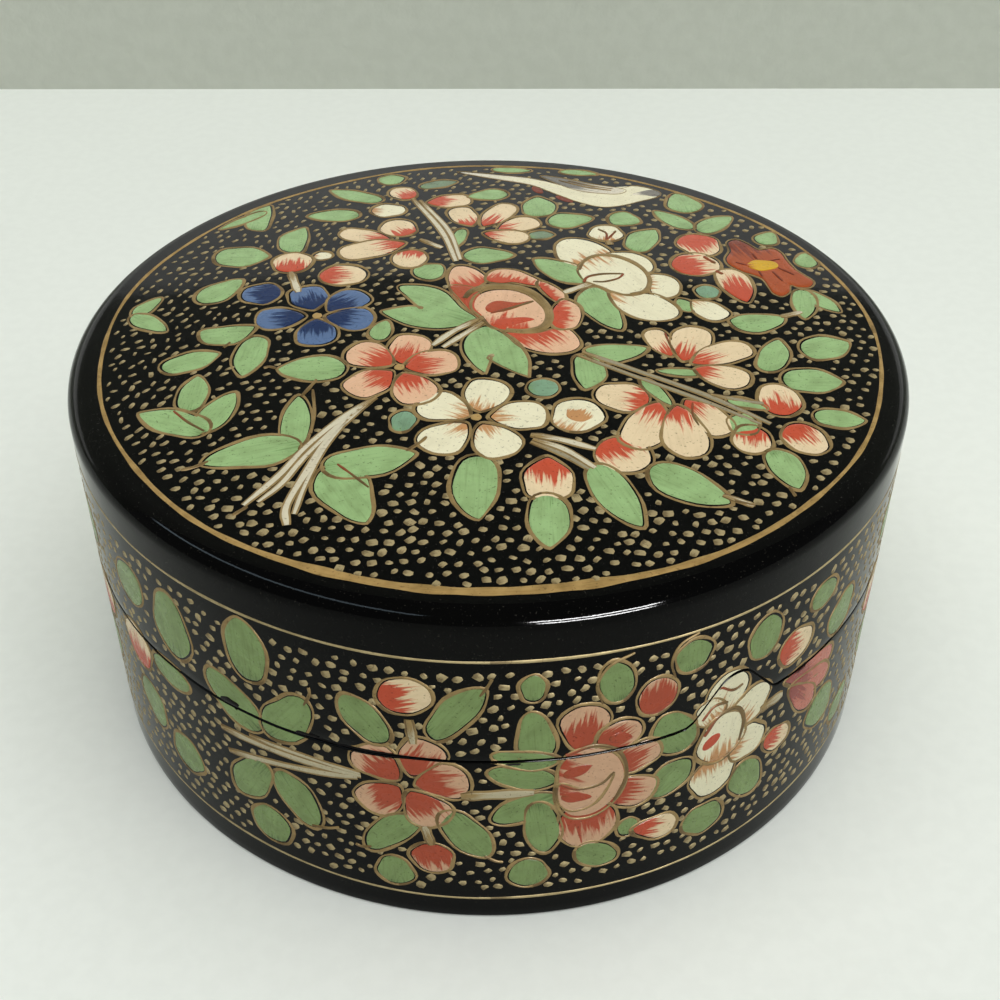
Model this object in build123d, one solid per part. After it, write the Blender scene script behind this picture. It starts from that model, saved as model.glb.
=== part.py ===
from build123d import *

import os
from math import atan2, cos, pi, radians, sin

# Round papier-mache box with a lift-off lid.  The wall was moulded as one tube and then sawn
# in two: the saw line runs level round the box except at one place, where it climbs over a
# rounded tongue.  The tongue stays on the base and keys the lid, so that the painting on the
# two halves always meets.  A collar inside the base centres the lid.
#
# Millimetres, +Z up.  The origin is the centre of the underside.  The front of the box looks
# towards -Y, and angles round the wall are counted from the front towards +X.

# Wall, common to the base and the lid
OUTER_RADIUS = 45.0
WALL_THICKNESS = 2.6
BASE_HEIGHT = 23.6
LID_WALL_HEIGHT = 16.3

# Floor disc, let into a rebate in the foot of the wall
FLOOR_THICKNESS = 2.6
REBATE_DEPTH = 1.2
FOOT_CHAMFER = 0.4

# Crown: a shallow dome that turns down into the wall over a rounded shoulder.  A spigot
# under it locates in the lid wall.
SHOULDER_RADIUS = 2.2
DOME_RISE = 1.1
SPIGOT_DEPTH = 0.8

# Collar that stands on the floor inside the base wall and reaches up into the lid
COLLAR_THICKNESS = 1.8
COLLAR_RISE = 7.4
COLLAR_LEAD_IN = 0.7

# Tongue on the base wall.  Its flanks are straight lines that would meet at the peak, before
# the tip and the two feet are rounded.
TONGUE_ANGLE = 31.3
TONGUE_FOOT_WIDTH = 10.4
TONGUE_PEAK_HEIGHT = 6.6
TONGUE_LEAN = 0.4
TONGUE_TIP_RADIUS = 2.4
TONGUE_FOOT_RADIUS = 1.5
TONGUE_RUNOUT = 3.0

# Fits
GLUE_GAP = 0.05
LID_CLEARANCE = 0.3
TONGUE_CLEARANCE = 0.3
SAWN_EDGE_CHAMFER = 0.25
LID_LEAD_IN = 0.5

# Levels and radii that follow from the sizes above
WALL_RADIUS = OUTER_RADIUS - WALL_THICKNESS
WALL_TOP = BASE_HEIGHT + LID_WALL_HEIGHT
REBATE_RADIUS = WALL_RADIUS + REBATE_DEPTH
SHOULDER_CENTRE = OUTER_RADIUS - SHOULDER_RADIUS


def turned(points):
    """Turn a closed outline of (radius, height) points about the axis of the box."""
    with BuildPart() as body:
        with BuildSketch(Plane.XZ):
            with BuildLine():
                Polyline(*points, close=True)
            make_face()
        revolve(axis=Axis.Z)
    return body.part


def tube(bottom, top):
    """The plain wall between two levels."""
    return turned(
        [
            (WALL_RADIUS, bottom),
            (OUTER_RADIUS, bottom),
            (OUTER_RADIUS, top),
            (WALL_RADIUS, top),
        ]
    )


def tongue_outline():
    """The tongue seen square on: x runs round the wall, y up from the saw line."""
    foot = TONGUE_FOOT_WIDTH / 2
    far = foot + TONGUE_RUNOUT
    below = -TONGUE_RUNOUT
    with BuildSketch() as outline:
        with BuildLine():
            FilletPolyline(
                (-far, 0),
                (-foot, 0),
                (-TONGUE_LEAN, TONGUE_PEAK_HEIGHT),
                (foot, 0),
                (far, 0),
                radius=(TONGUE_FOOT_RADIUS, TONGUE_TIP_RADIUS, TONGUE_FOOT_RADIUS),
            )
            Polyline((far, 0), (far, below), (-far, below), (-far, 0))
        make_face()
    return outline.sketch


def tongue_prism(clearance):
    """The tongue's outline, grown by a clearance and run outwards from the axis."""
    turn = radians(TONGUE_ANGLE)
    square_on = Plane(
        origin=(0, 0, BASE_HEIGHT),
        x_dir=(cos(turn), sin(turn), 0),
        z_dir=(sin(turn), -cos(turn), 0),
    )
    outline = tongue_outline()
    if clearance > 0:
        outline = offset(outline, amount=clearance, kind=Kind.ARC)
    return extrude(square_on * outline, amount=2 * OUTER_RADIUS)


def base_wall():
    """Lower part of the wall: rebated foot, sawn top edge and the tongue."""
    ring = turned(
        [
            (REBATE_RADIUS, 0),
            (OUTER_RADIUS - FOOT_CHAMFER, 0),
            (OUTER_RADIUS, FOOT_CHAMFER),
            (OUTER_RADIUS, BASE_HEIGHT - SAWN_EDGE_CHAMFER),
            (OUTER_RADIUS - SAWN_EDGE_CHAMFER, BASE_HEIGHT),
            (WALL_RADIUS, BASE_HEIGHT),
            (WALL_RADIUS, FLOOR_THICKNESS),
            (REBATE_RADIUS, FLOOR_THICKNESS),
        ]
    )
    blank = tube(BASE_HEIGHT - SAWN_EDGE_CHAMFER, WALL_TOP)
    return ring + (blank & tongue_prism(0))


def base_floor():
    """Floor disc, flush with the foot of the wall."""
    radius = REBATE_RADIUS - GLUE_GAP
    return Cylinder(radius, FLOOR_THICKNESS, align=(Align.CENTER, Align.CENTER, Align.MIN))


def locating_collar():
    """Collar: tight in the base wall, eased above the saw line so that the lid slides on."""
    tight = WALL_RADIUS - GLUE_GAP
    eased = WALL_RADIUS - LID_CLEARANCE
    bore = tight - COLLAR_THICKNESS
    top = BASE_HEIGHT + COLLAR_RISE
    return turned(
        [
            (bore, FLOOR_THICKNESS),
            (tight, FLOOR_THICKNESS),
            (tight, BASE_HEIGHT - LID_LEAD_IN),
            (eased, BASE_HEIGHT),
            (eased, top - COLLAR_LEAD_IN),
            (eased - COLLAR_LEAD_IN, top),
            (bore, top),
        ]
    )


def lid_wall():
    """Upper part of the wall, with the notch that drops over the tongue."""
    ring = turned(
        [
            (WALL_RADIUS + LID_LEAD_IN, BASE_HEIGHT),
            (OUTER_RADIUS - SAWN_EDGE_CHAMFER, BASE_HEIGHT),
            (OUTER_RADIUS, BASE_HEIGHT + SAWN_EDGE_CHAMFER),
            (OUTER_RADIUS, WALL_TOP),
            (WALL_RADIUS, WALL_TOP),
            (WALL_RADIUS, BASE_HEIGHT + LID_LEAD_IN),
        ]
    )
    return ring - tongue_prism(TONGUE_CLEARANCE)


def lid_crown():
    """Domed top with a rounded shoulder, and a spigot below it that sits in the lid wall.

    The dome is part of a sphere with its centre on the axis.  The sphere passes through the
    apex and touches the shoulder's circle from outside, so the two arcs meet smoothly.
    """
    rise = SHOULDER_RADIUS + DOME_RISE
    dome_radius = (SHOULDER_CENTRE**2 + rise**2 - SHOULDER_RADIUS**2) / (2 * DOME_RISE)
    dome_centre = WALL_TOP + rise - dome_radius
    lean = atan2(SHOULDER_CENTRE, WALL_TOP - dome_centre)
    half_turn = (pi / 2 - lean) / 2

    def on_shoulder(turn):
        return (
            SHOULDER_CENTRE + SHOULDER_RADIUS * cos(turn),
            WALL_TOP + SHOULDER_RADIUS * sin(turn),
        )

    def on_dome(turn):
        return (dome_radius * sin(turn), dome_centre + dome_radius * cos(turn))

    spigot_radius = WALL_RADIUS - GLUE_GAP
    spigot_bottom = WALL_TOP - SPIGOT_DEPTH
    with BuildPart() as crown:
        with BuildSketch(Plane.XZ):
            with BuildLine():
                ThreePointArc(on_shoulder(0), on_shoulder(half_turn), on_dome(lean))
                ThreePointArc(on_dome(lean), on_dome(lean / 2), on_dome(0))
                Polyline(
                    on_dome(0),
                    (0, spigot_bottom),
                    (spigot_radius, spigot_bottom),
                    (spigot_radius, WALL_TOP),
                    on_shoulder(0),
                )
            make_face()
        revolve(axis=Axis.Z)
    return crown.part


PIECES = {
    "base_floor": base_floor,
    "base_wall": base_wall,
    "locating_collar": locating_collar,
    "lid_wall": lid_wall,
    "lid_crown": lid_crown,
}

os.makedirs("parts", exist_ok=True)
for name, build in PIECES.items():
    piece = build()
    piece.label = name
    export_step(piece, f"parts/{name}.step")
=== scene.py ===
import logging
from dataclasses import dataclass, field, replace
from enum import Enum
from math import atan2, cos, degrees, pi, radians, sin, sqrt
from typing import Any, Sequence

import bmesh
import bpy
import numpy as np
from mathutils import Matrix, Vector


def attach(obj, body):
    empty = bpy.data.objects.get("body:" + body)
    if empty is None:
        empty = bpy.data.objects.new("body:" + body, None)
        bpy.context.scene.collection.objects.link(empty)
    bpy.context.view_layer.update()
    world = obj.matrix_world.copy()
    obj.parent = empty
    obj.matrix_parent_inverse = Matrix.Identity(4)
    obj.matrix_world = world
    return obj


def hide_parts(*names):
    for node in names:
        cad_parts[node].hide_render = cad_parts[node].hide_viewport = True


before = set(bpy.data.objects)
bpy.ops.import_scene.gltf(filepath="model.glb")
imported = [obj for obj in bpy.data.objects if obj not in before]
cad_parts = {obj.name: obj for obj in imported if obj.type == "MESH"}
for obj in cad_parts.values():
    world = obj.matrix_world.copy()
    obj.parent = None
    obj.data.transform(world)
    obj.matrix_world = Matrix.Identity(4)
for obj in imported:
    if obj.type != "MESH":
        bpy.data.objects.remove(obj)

# Round papier-mache box: black lacquer, a garland of flowers on the lid and round the wall.
# All lengths in the classes below are millimetres and become metres when a mesh is written.
# A place on the lid is its (x, y) seen from above.  A place on the wall is (s, z): s runs
# round the wall from the front towards +X, z is the height above the table.

LOG = logging.getLogger("box")
MM = 0.001
TURN = 2 * pi

Table = tuple[tuple[float, ...], ...]
Place = tuple[float, float]
Path = tuple[Place, ...]


# ---------------------------------------------------------------------------------------
# Colours
# ---------------------------------------------------------------------------------------


class Tint(Enum):
    """The painter's colours, as red, green and blue from 0 to 255."""

    LEAF = (151, 183, 125)
    LEAF_SHADE = (126, 158, 102)
    # The wall's leaf greens are the lid's ones darkened: painted shade for the wall, which gets less
    # light than the lid.
    SHADED_WALL_LEAF = (128, 151, 96)
    SHADED_WALL_LEAF_DEEP = (98, 120, 72)
    TEAL = (126, 160, 130)
    GREY_LEAF = (120, 140, 112)
    PEACH = (222, 180, 146)
    CORAL = (190, 80, 54)
    UNDER_ROSE = (170, 78, 50)
    MOUTH = (142, 74, 44)
    ROSE = (190, 112, 94)
    DARK_ROSE = (146, 70, 62)
    IVORY = (226, 204, 166)
    CREAM = (230, 224, 192)
    BISCUIT = (190, 140, 92)
    BLUE = (88, 112, 150)
    NAVY = (18, 42, 84)
    RUST = (164, 76, 34)
    RUST_SHADE = (118, 46, 22)
    YELLOW = (206, 162, 34)
    STEM = (208, 200, 174)
    # The wall's stem colour: the stem cream darkened as painted shade for the wall.
    SHADED_WALL_STEM = (186, 176, 146)
    STEM_GREY = (150, 142, 116)
    FEATHER = (216, 208, 188)
    FEATHER_GREY = (120, 116, 108)
    LINE = (150, 126, 82)
    LINE_SHADE = (114, 92, 56)
    GOLD = (174, 143, 88)
    GOLD_SHADE = (138, 112, 68)
    DOT = (168, 152, 112)
    DOT_SHADE = (122, 106, 74)
    BARE = (16, 13, 11)
    # The wall's peach and coral: the lid's ones darkened as painted shade for the wall.
    SHADED_WALL_PEACH = (204, 164, 132)
    SHADED_WALL_CORAL = (168, 76, 52)

    def linear(self) -> np.ndarray:
        """The colour as linear red, green, blue and a full alpha."""
        return np.array([*linear(*self.value), 1.0])


def linear(red: float, green: float, blue: float) -> tuple[float, float, float]:
    """A colour from 0 to 255 made linear by the standard display curve.

    Args:
        red: Red, 0 to 255.
        green: Green, 0 to 255.
        blue: Blue, 0 to 255.

    Returns:
        The linear red, green and blue, 0 to 1.
    """
    display = np.array([red, green, blue]) / 255
    low = display / 12.92
    high = ((display + 0.055) / 1.055) ** 2.4
    chosen = np.where(display <= 0.04045, low, high)
    return tuple(float(part) for part in chosen)


# ---------------------------------------------------------------------------------------
# Shaders
# ---------------------------------------------------------------------------------------


class Term:
    """A shader value: arithmetic on it adds Math nodes."""

    def __init__(self, graph: "Graph", socket: Any) -> None:
        """Wraps one socket of a graph."""
        self.graph = graph
        self.socket = socket

    def _math(self, operation: str, first: Any, second: Any = 0.0, clamp: bool = False) -> "Term":
        """One Math node on two values, each a Term or a number."""
        settings = {"operation": operation, "use_clamp": clamp}
        node = self.graph.node("ShaderNodeMath", settings, {0: first, 1: second})
        return Term(self.graph, node.outputs[0])

    def __add__(self, other: Any) -> "Term":
        """self + other."""
        return self._math("ADD", self, other)

    def __radd__(self, other: Any) -> "Term":
        """other + self."""
        return self._math("ADD", other, self)

    def __sub__(self, other: Any) -> "Term":
        """self - other."""
        return self._math("SUBTRACT", self, other)

    def __rsub__(self, other: Any) -> "Term":
        """other - self."""
        return self._math("SUBTRACT", other, self)

    def __mul__(self, other: Any) -> "Term":
        """self * other."""
        return self._math("MULTIPLY", self, other)

    def __rmul__(self, other: Any) -> "Term":
        """other * self."""
        return self._math("MULTIPLY", other, self)

    def __truediv__(self, other: Any) -> "Term":
        """self / other."""
        return self._math("DIVIDE", self, other)

    def __abs__(self) -> "Term":
        """The size of self without its sign."""
        return self._math("ABSOLUTE", self)

    def held(self) -> "Term":
        """self kept between 0 and 1."""
        return self._math("ADD", self, 0.0, clamp=True)

    def above(self, start: float, width: float) -> "Term":
        """0 below start, 1 above start + width, and even between them."""
        return ((self - start) / width).held()


class Graph:
    """The nodes of one material."""

    def __init__(self, name: str) -> None:
        """Makes an empty material."""
        self.material = bpy.data.materials.new(name)
        self.material.use_nodes = True
        self.tree = self.material.node_tree
        self.tree.nodes.clear()

    def node(self, kind: str, settings: dict[str, Any], inputs: dict[Any, Any]) -> Any:
        """Adds a node.

        Args:
            kind: The node's type.
            settings: Its properties, set before its sockets. "stops" sets a ramp's stops.
            inputs: Numbers, Terms or sockets by the input's name or number.

        Returns:
            The new node.
        """
        node = self.tree.nodes.new(kind)
        for key, value in settings.items():
            if key == "stops":
                self._stops(node.color_ramp, value)
            else:
                setattr(node, key, value)
        for key, value in inputs.items():
            if isinstance(value, Term):
                self.tree.links.new(value.socket, node.inputs[key])
            elif isinstance(value, bpy.types.NodeSocket):
                self.tree.links.new(value, node.inputs[key])
            else:
                node.inputs[key].default_value = value
        return node

    @staticmethod
    def _stops(ramp: Any, stops: Sequence[tuple[float, Sequence[float]]]) -> None:
        """Sets the stops of a colour ramp from (place, colour) pairs."""
        while len(ramp.elements) < len(stops):
            ramp.elements.new(0.5)
        for element, (place, colour) in zip(ramp.elements, stops):
            element.position = place
            element.color = colour

    def place(self) -> Any:
        """Object coordinates, in metres."""
        return self.node("ShaderNodeTexCoord", {}, {}).outputs["Object"]

    def noise(self, vector: Any, scale: float, detail: float = 3.0) -> Term:
        """Noise around 0.5 with features of about 1 / scale."""
        inputs = {"Vector": vector, "Scale": scale, "Detail": detail}
        return Term(self, self.node("ShaderNodeTexNoise", {}, inputs).outputs[0])

    def painted(self, name: str) -> Any:
        """The node that reads a value the painter left on the mesh."""
        return self.node("ShaderNodeAttribute", {"attribute_name": name}, {})

    def mix(self, amount: Any, first: Any, second: Any) -> Any:
        """A colour between two colours."""
        inputs = {0: amount, 6: first, 7: second}
        return self.node("ShaderNodeMix", {"data_type": "RGBA"}, inputs).outputs[2]

    def tinted(self, colour: Any, tint: Any, amount: Any) -> Any:
        """A colour multiplied by another one, by some amount."""
        settings = {"data_type": "RGBA", "blend_type": "MULTIPLY"}
        return self.node("ShaderNodeMix", settings, {0: amount, 6: colour, 7: tint}).outputs[2]

    def bump(self, height: Term, depth: float) -> Any:
        """A normal for a height from 0 to 1 over a depth in metres."""
        inputs = {"Height": height, "Distance": depth, "Strength": 1.0}
        return self.node("ShaderNodeBump", {}, inputs).outputs[0]

    def surface(self, inputs: dict[str, Any], one_sided: bool = False) -> bpy.types.Material:
        """Ends the graph in a Principled BSDF.

        Args:
            inputs: The shader's sockets by name.
            one_sided: Whether it is clear when seen from its back.

        Returns:
            The finished material.
        """
        shader = self.node("ShaderNodeBsdfPrincipled", {}, inputs)
        if one_sided:
            behind = self.node("ShaderNodeNewGeometry", {}, {}).outputs["Backfacing"]
            clear = self.node("ShaderNodeBsdfTransparent", {}, {}).outputs[0]
            ends = {0: behind, 1: shader.outputs[0], 2: clear}
            shader = self.node("ShaderNodeMixShader", {}, ends)
        self.node("ShaderNodeOutputMaterial", {}, {"Surface": shader.outputs[0]})
        return self.material


@dataclass(frozen=True)
class BlackLacquer:
    """Glossy black lacquer, brushed on by hand over gesso: not quite level, a little worn."""

    name: str = "black_lacquer"
    gloss: float = 0.05
    haze: float = 0.05
    ripple: float = 0.00009
    grain: float = 0.000004
    ior: float = 1.15

    def material(self) -> bpy.types.Material:
        """The lacquer's material: ripples in the gloss, faint brown clouds and fine dust."""
        graph = Graph(self.name)
        place = graph.place()
        clouds = graph.noise(place, 45.0)
        smears = graph.noise(place, 260.0)
        dust = graph.noise(place, 5200.0, 1.0)
        black = (*linear(3, 3, 3), 1.0)
        brown = (*linear(5, 5, 4), 1.0)
        grey = (*linear(58, 56, 50), 1.0)
        colour = graph.mix(clouds.above(0.42, 0.3), black, brown)
        colour = graph.mix(dust.above(0.70, 0.05) * 0.5, colour, grey)
        roughness = smears.above(0.35, 0.4) * self.haze + self.gloss
        level = clouds * 0.85 + smears * 0.2
        fine = graph.bump(graph.noise(place, 2600.0), self.grain)
        ripples = graph.node(
            "ShaderNodeBump",
            {},
            {"Height": level, "Distance": self.ripple, "Strength": 1.0, "Normal": fine},
        )
        return graph.surface(
            {
                "Base Color": colour,
                "Roughness": roughness,
                "Normal": ripples.outputs[0],
                "IOR": self.ior,
            }
        )


@dataclass(frozen=True)
class InnerLacquer:
    """Thin black paint inside the box, satin, with brush marks and bare fibres at edges."""

    name: str = "inner_lacquer"

    def material(self) -> bpy.types.Material:
        """The inner paint's material."""
        graph = Graph(self.name)
        place = graph.place()
        squeezed = graph.node("ShaderNodeMapping", {}, {"Vector": place, "Scale": (1, 1, 7)})
        marks = graph.noise(squeezed.outputs[0], 190.0, 4.0)
        fibres = graph.noise(place, 1500.0, 4.0)
        black = (*linear(20, 18, 17), 1.0)
        worn = (*linear(52, 42, 33), 1.0)
        colour = graph.mix(marks.above(0.5, 0.25) * 0.5, black, worn)
        roughness = marks * 0.25 + fibres * 0.2 + 0.22
        normal = graph.bump(marks * 0.6 + fibres * 0.4, 0.00006)
        return graph.surface({"Base Color": colour, "Roughness": roughness, "Normal": normal})


@dataclass(frozen=True)
class BrushPaint:
    """Body colour laid on with a small brush, under a clear lacquer.

    The mesh carries, at each point, where it is in its own touch of the brush (along, across
    and a number of its own), its deep and its pale colour, and how far the deep one reaches.
    """

    name: str
    feather: float = 0.5
    mottle: float = 0.3
    gloss: float = 0.2
    metal: float = 0.0

    def material(self) -> bpy.types.Material:
        """The paint's material: feathered deep colour over pale, brush streaks and specks."""
        graph = Graph(self.name)
        place = graph.place()
        touch = graph.painted("touch").outputs["Vector"]
        split = graph.node("ShaderNodeSeparateXYZ", {}, {0: touch})
        along = Term(graph, split.outputs[0])
        across = Term(graph, split.outputs[1])
        own = Term(graph, split.outputs[2])
        reach = Term(graph, graph.painted("reach").outputs["Fac"])
        bristles = graph.node(
            "ShaderNodeCombineXYZ", {}, {0: along * 1.3, 1: across * 5.5, 2: own * 19.0}
        )
        streaks = graph.noise(bristles.outputs[0], 1.5, 2.5)
        front = along + (streaks - 0.5) * self.feather * 2.4 + across * across * 0.28
        deep = ((reach - front) / 0.2 + 0.5).held()
        colour = graph.mix(
            deep, graph.painted("pale").outputs["Color"], graph.painted("deep").outputs["Color"]
        )
        clouds = graph.noise(place, 620.0)
        shade = (*linear(168, 160, 138), 1.0)
        colour = graph.tinted(colour, shade, clouds.above(0.38, 0.34) * self.mottle)
        colour = graph.tinted(colour, shade, streaks.above(0.5, 0.3) * self.mottle)
        specks = graph.noise(place, 3600.0, 1.0).above(0.66, 0.06)
        colour = graph.tinted(colour, (*linear(110, 96, 70), 1.0), specks * 0.45)
        roughness = clouds * 0.16 + self.gloss
        normal = graph.bump(streaks * 0.7 + clouds * 0.3, 0.00003)
        return graph.surface(
            {
                "Base Color": colour,
                "Roughness": roughness,
                "Metallic": self.metal,
                "Normal": normal,
                "IOR": 1.18,
                "Coat Weight": 0.03,
                "Coat Roughness": 0.1,
            }
        )


@dataclass(frozen=True)
class Plain:
    """A pale surface of the studio: softly mottled, finely textured, and clear from behind."""

    name: str
    light: tuple[float, float, float]
    dark: tuple[float, float, float]
    grain: float
    depth: float
    roughness: float = 0.6

    def material(self) -> bpy.types.Material:
        """The surface's material."""
        graph = Graph(self.name)
        place = graph.place()
        clouds = graph.noise(place, 9.0)
        grain = graph.noise(place, self.grain, 4.0)
        light = (*linear(*self.light), 1.0)
        dark = (*linear(*self.dark), 1.0)
        colour = graph.mix(clouds.above(0.3, 0.4) * 0.6 + grain.above(0.4, 0.2) * 0.4, light, dark)
        return graph.surface(
            {
                "Base Color": colour,
                "Roughness": self.roughness,
                "Specular IOR Level": 0.0,
                "Normal": graph.bump(grain, self.depth),
            },
            one_sided=True,
        )


# ---------------------------------------------------------------------------------------
# Shapes of the box
# ---------------------------------------------------------------------------------------


@dataclass(frozen=True)
class BoxSizes:
    """Sizes that both halves of the box share."""

    radius: float = 45.0
    wall: float = 2.6
    saw_level: float = 23.6
    wall_top: float = 39.9
    floor: float = 2.6
    rebate: float = 1.2
    foot_chamfer: float = 0.4
    shoulder: float = 2.2
    dome_rise: float = 1.1
    spigot: float = 0.8
    sawn_edge: float = 0.2
    lead_in: float = 0.5
    skin: float = 0.12

    @property
    def face(self) -> float:
        """Radius of the lacquered wall: the paint stands on it, inside the outer radius."""
        return self.radius - self.skin

    @property
    def bore(self) -> float:
        """Inner radius of the wall."""
        return self.radius - self.wall

    @property
    def shoulder_centre(self) -> float:
        """Radius at which the shoulder's circle has its centre."""
        return self.radius - self.shoulder

    @property
    def dome_radius(self) -> float:
        """Radius of the sphere that touches the shoulder's circle and the apex."""
        rise = self.shoulder + self.dome_rise
        return (self.shoulder_centre**2 + rise**2 - self.shoulder**2) / (2 * self.dome_rise)

    @property
    def dome_centre(self) -> float:
        """Height of the sphere's centre."""
        return self.wall_top + self.shoulder + self.dome_rise - self.dome_radius


def rounded_corner(before: Any, corner: Any, after: Any, radius: float) -> np.ndarray:
    """An arc that rounds a corner between two straight lines.

    The arc touches both lines. Its centre lies on the line that halves the corner, at the
    radius divided by the sine of half the angle, and its points turn evenly about it.

    Args:
        before: A point on the first line.
        corner: The corner.
        after: A point on the second line.
        radius: The arc's radius.

    Returns:
        Nine points along the arc.
    """
    corner = np.array(corner, float)
    back = np.array(before, float) - corner
    ahead = np.array(after, float) - corner
    back /= np.linalg.norm(back)
    ahead /= np.linalg.norm(ahead)
    half = np.arccos(np.clip(back @ ahead, -1, 1)) / 2
    middle = (back + ahead) / np.linalg.norm(back + ahead)
    centre = corner + middle * radius / sin(half)
    run = radius / np.tan(half)
    first = corner + back * run - centre
    last = corner + ahead * run - centre
    start = np.arctan2(first[1], first[0])
    swing = np.arctan2(last[1], last[0]) - start
    swing = (swing + pi) % TURN - pi
    angles = start + swing * np.linspace(0, 1, 9)
    return centre + radius * np.stack([np.cos(angles), np.sin(angles)], axis=1)


@dataclass(frozen=True)
class SawLine:
    """The cut between lid and base: level but for the tongue, and a little unsteady."""

    sizes: BoxSizes = BoxSizes()
    tongue_angle: float = 31.3
    foot_width: float = 10.4
    peak: float = 6.6
    lean: float = 0.4
    tip_radius: float = 2.4
    foot_radius: float = 1.5
    runout: float = 3.0
    unsteady: float = 0.1
    opening: float = 0.14
    wide_opening: float = 0.3
    wide_at: float = -13.0

    def outline(self) -> np.ndarray:
        """The tongue seen square on, as points from left to right."""
        foot = self.foot_width / 2
        far = (foot + self.runout, 0.0)
        points = [(-far[0], 0.0), (-foot, 0.0), (-self.lean, self.peak), (foot, 0.0), far]
        radii = (self.foot_radius, self.tip_radius, self.foot_radius)
        arcs = [
            rounded_corner(points[i], points[i + 1], points[i + 2], radii[i]) for i in range(3)
        ]
        return np.vstack([points[:1], *arcs, points[-1:]])

    def level(self, turn: np.ndarray) -> np.ndarray:
        """Height of the cut: the tongue's outline where it is, and three slow waves.

        Args:
            turn: Angles from the front towards +X, radians.

        Returns:
            The heights, millimetres.
        """
        away = (turn - radians(self.tongue_angle) + pi) % TURN - pi
        across = np.where(np.abs(away) < 1.0, self.sizes.radius * np.sin(away), 99.0)
        outline = self.outline()
        tongue = np.interp(across, outline[:, 0], outline[:, 1], left=0.0, right=0.0)
        waves = np.sin(3 * turn + 0.6) + 0.6 * np.sin(8 * turn + 2.0) + 0.3 * np.sin(31 * turn)
        return self.sizes.saw_level + tongue + self.unsteady * waves

    def half_gap(self, turn: np.ndarray) -> np.ndarray:
        """Half the gap between the halves: even, and wider on one stretch left of the front."""
        arc = ((turn + pi) % TURN - pi) * self.sizes.radius
        wider = np.exp(-(((arc - self.wide_at) / 4.5) ** 4))
        return 0.5 * (self.opening + self.wide_opening * wider)

    def columns(self) -> np.ndarray:
        """Angles round the box, closer together on the tongue."""
        even = np.linspace(0, TURN, 361)[:-1]
        close = radians(self.tongue_angle) + np.linspace(-0.2, 0.2, 81)
        away = np.abs((even - radians(self.tongue_angle) + pi) % TURN - pi)
        return np.sort(np.concatenate([even[away > 0.203], close]))


class Half(Enum):
    """The two halves of the box, by the name of the body that carries each."""

    LID = "lid"
    BASE = "base"


class CrownSurface:
    """The lacquered top of the lid: a dome that turns down over the shoulder."""

    def __init__(self, sizes: BoxSizes) -> None:
        """Works out the dome and the shoulder, less the skin left for the paint."""
        self.sizes = sizes
        self.dome = sizes.dome_radius - sizes.skin
        self.bend = sizes.shoulder - sizes.skin
        self.meet = sizes.shoulder_centre * sizes.dome_radius
        self.meet /= sizes.dome_radius - sizes.shoulder
        self.meet *= self.dome / sizes.dome_radius

    def section(self, radius: np.ndarray) -> tuple[np.ndarray, np.ndarray, np.ndarray]:
        """Height and normal at a distance from the axis.

        On the dome both come from the sphere, further out from the shoulder's circle.

        Args:
            radius: Distances from the axis.

        Returns:
            Heights, and the radial and the upward part of the normals.
        """
        size = self.sizes
        on_dome = radius < self.meet
        high = size.dome_centre + np.sqrt(self.dome**2 - radius**2)
        out = np.clip(radius - size.shoulder_centre, 0, self.bend)
        low = size.wall_top + np.sqrt(np.maximum(self.bend**2 - out**2, 0))
        height = np.where(on_dome, high, low)
        radial = np.where(on_dome, radius / self.dome, out / self.bend)
        upward = np.sqrt(np.maximum(1 - radial**2, 0))
        return height, radial, upward

    def raised(self, plan: np.ndarray, lift: np.ndarray) -> np.ndarray:
        """Points a little above the lacquer.

        Args:
            plan: Places (x, y).
            lift: Height above the lacquer at each.

        Returns:
            The points, millimetres.
        """
        radius = np.hypot(plan[:, 0], plan[:, 1])
        height, radial, upward = self.section(radius)
        scale = 1 + lift * radial / np.maximum(radius, 1e-6)
        return np.stack([plan[:, 0] * scale, plan[:, 1] * scale, height + lift * upward], axis=1)

    def outward(self, spot: Vector) -> Vector:
        """Which way is out of the lid at a point: up."""
        return Vector((0, 0, 1))

    def kept(self, plan: np.ndarray) -> tuple[np.ndarray, np.ndarray]:
        """All of the painting is on the crown."""
        return plan, np.ones(len(plan), bool)


class WallSurface:
    """The lacquered wall of one half, up to its sawn edge."""

    def __init__(self, sizes: BoxSizes, saw: SawLine, half: Half) -> None:
        """Keeps the wall's sizes, the saw line and which half this is."""
        self.sizes = sizes
        self.saw = saw
        self.half = half

    def raised(self, plan: np.ndarray, lift: np.ndarray) -> np.ndarray:
        """Points a little outside the wall: s becomes an angle, z stays a height.

        Args:
            plan: Places (s, z).
            lift: Distance out from the lacquer at each.

        Returns:
            The points, millimetres.
        """
        turn = plan[:, 0] / self.sizes.radius
        out = self.sizes.face + lift
        return np.stack([out * np.sin(turn), -out * np.cos(turn), plan[:, 1]], axis=1)

    def outward(self, spot: Vector) -> Vector:
        """Which way is out of the wall at a point: straight away from the axis."""
        return Vector((spot.x, spot.y, 0))

    def kept(self, plan: np.ndarray) -> tuple[np.ndarray, np.ndarray]:
        """Pulls places beyond the sawn edge back to it.

        Args:
            plan: Places (s, z).

        Returns:
            The places on this half, and for each whether it was already on it.
        """
        turn = plan[:, 0] / self.sizes.radius
        edge = self.sizes.sawn_edge * 0.7 + self.saw.half_gap(turn)
        level = self.saw.level(turn)
        if self.half is Half.LID:
            mine = plan[:, 1] >= level + edge
            height = np.maximum(plan[:, 1], level + edge)
        else:
            mine = plan[:, 1] <= level - edge
            height = np.minimum(plan[:, 1], level - edge)
        return np.stack([plan[:, 0], height], axis=1), mine


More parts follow.
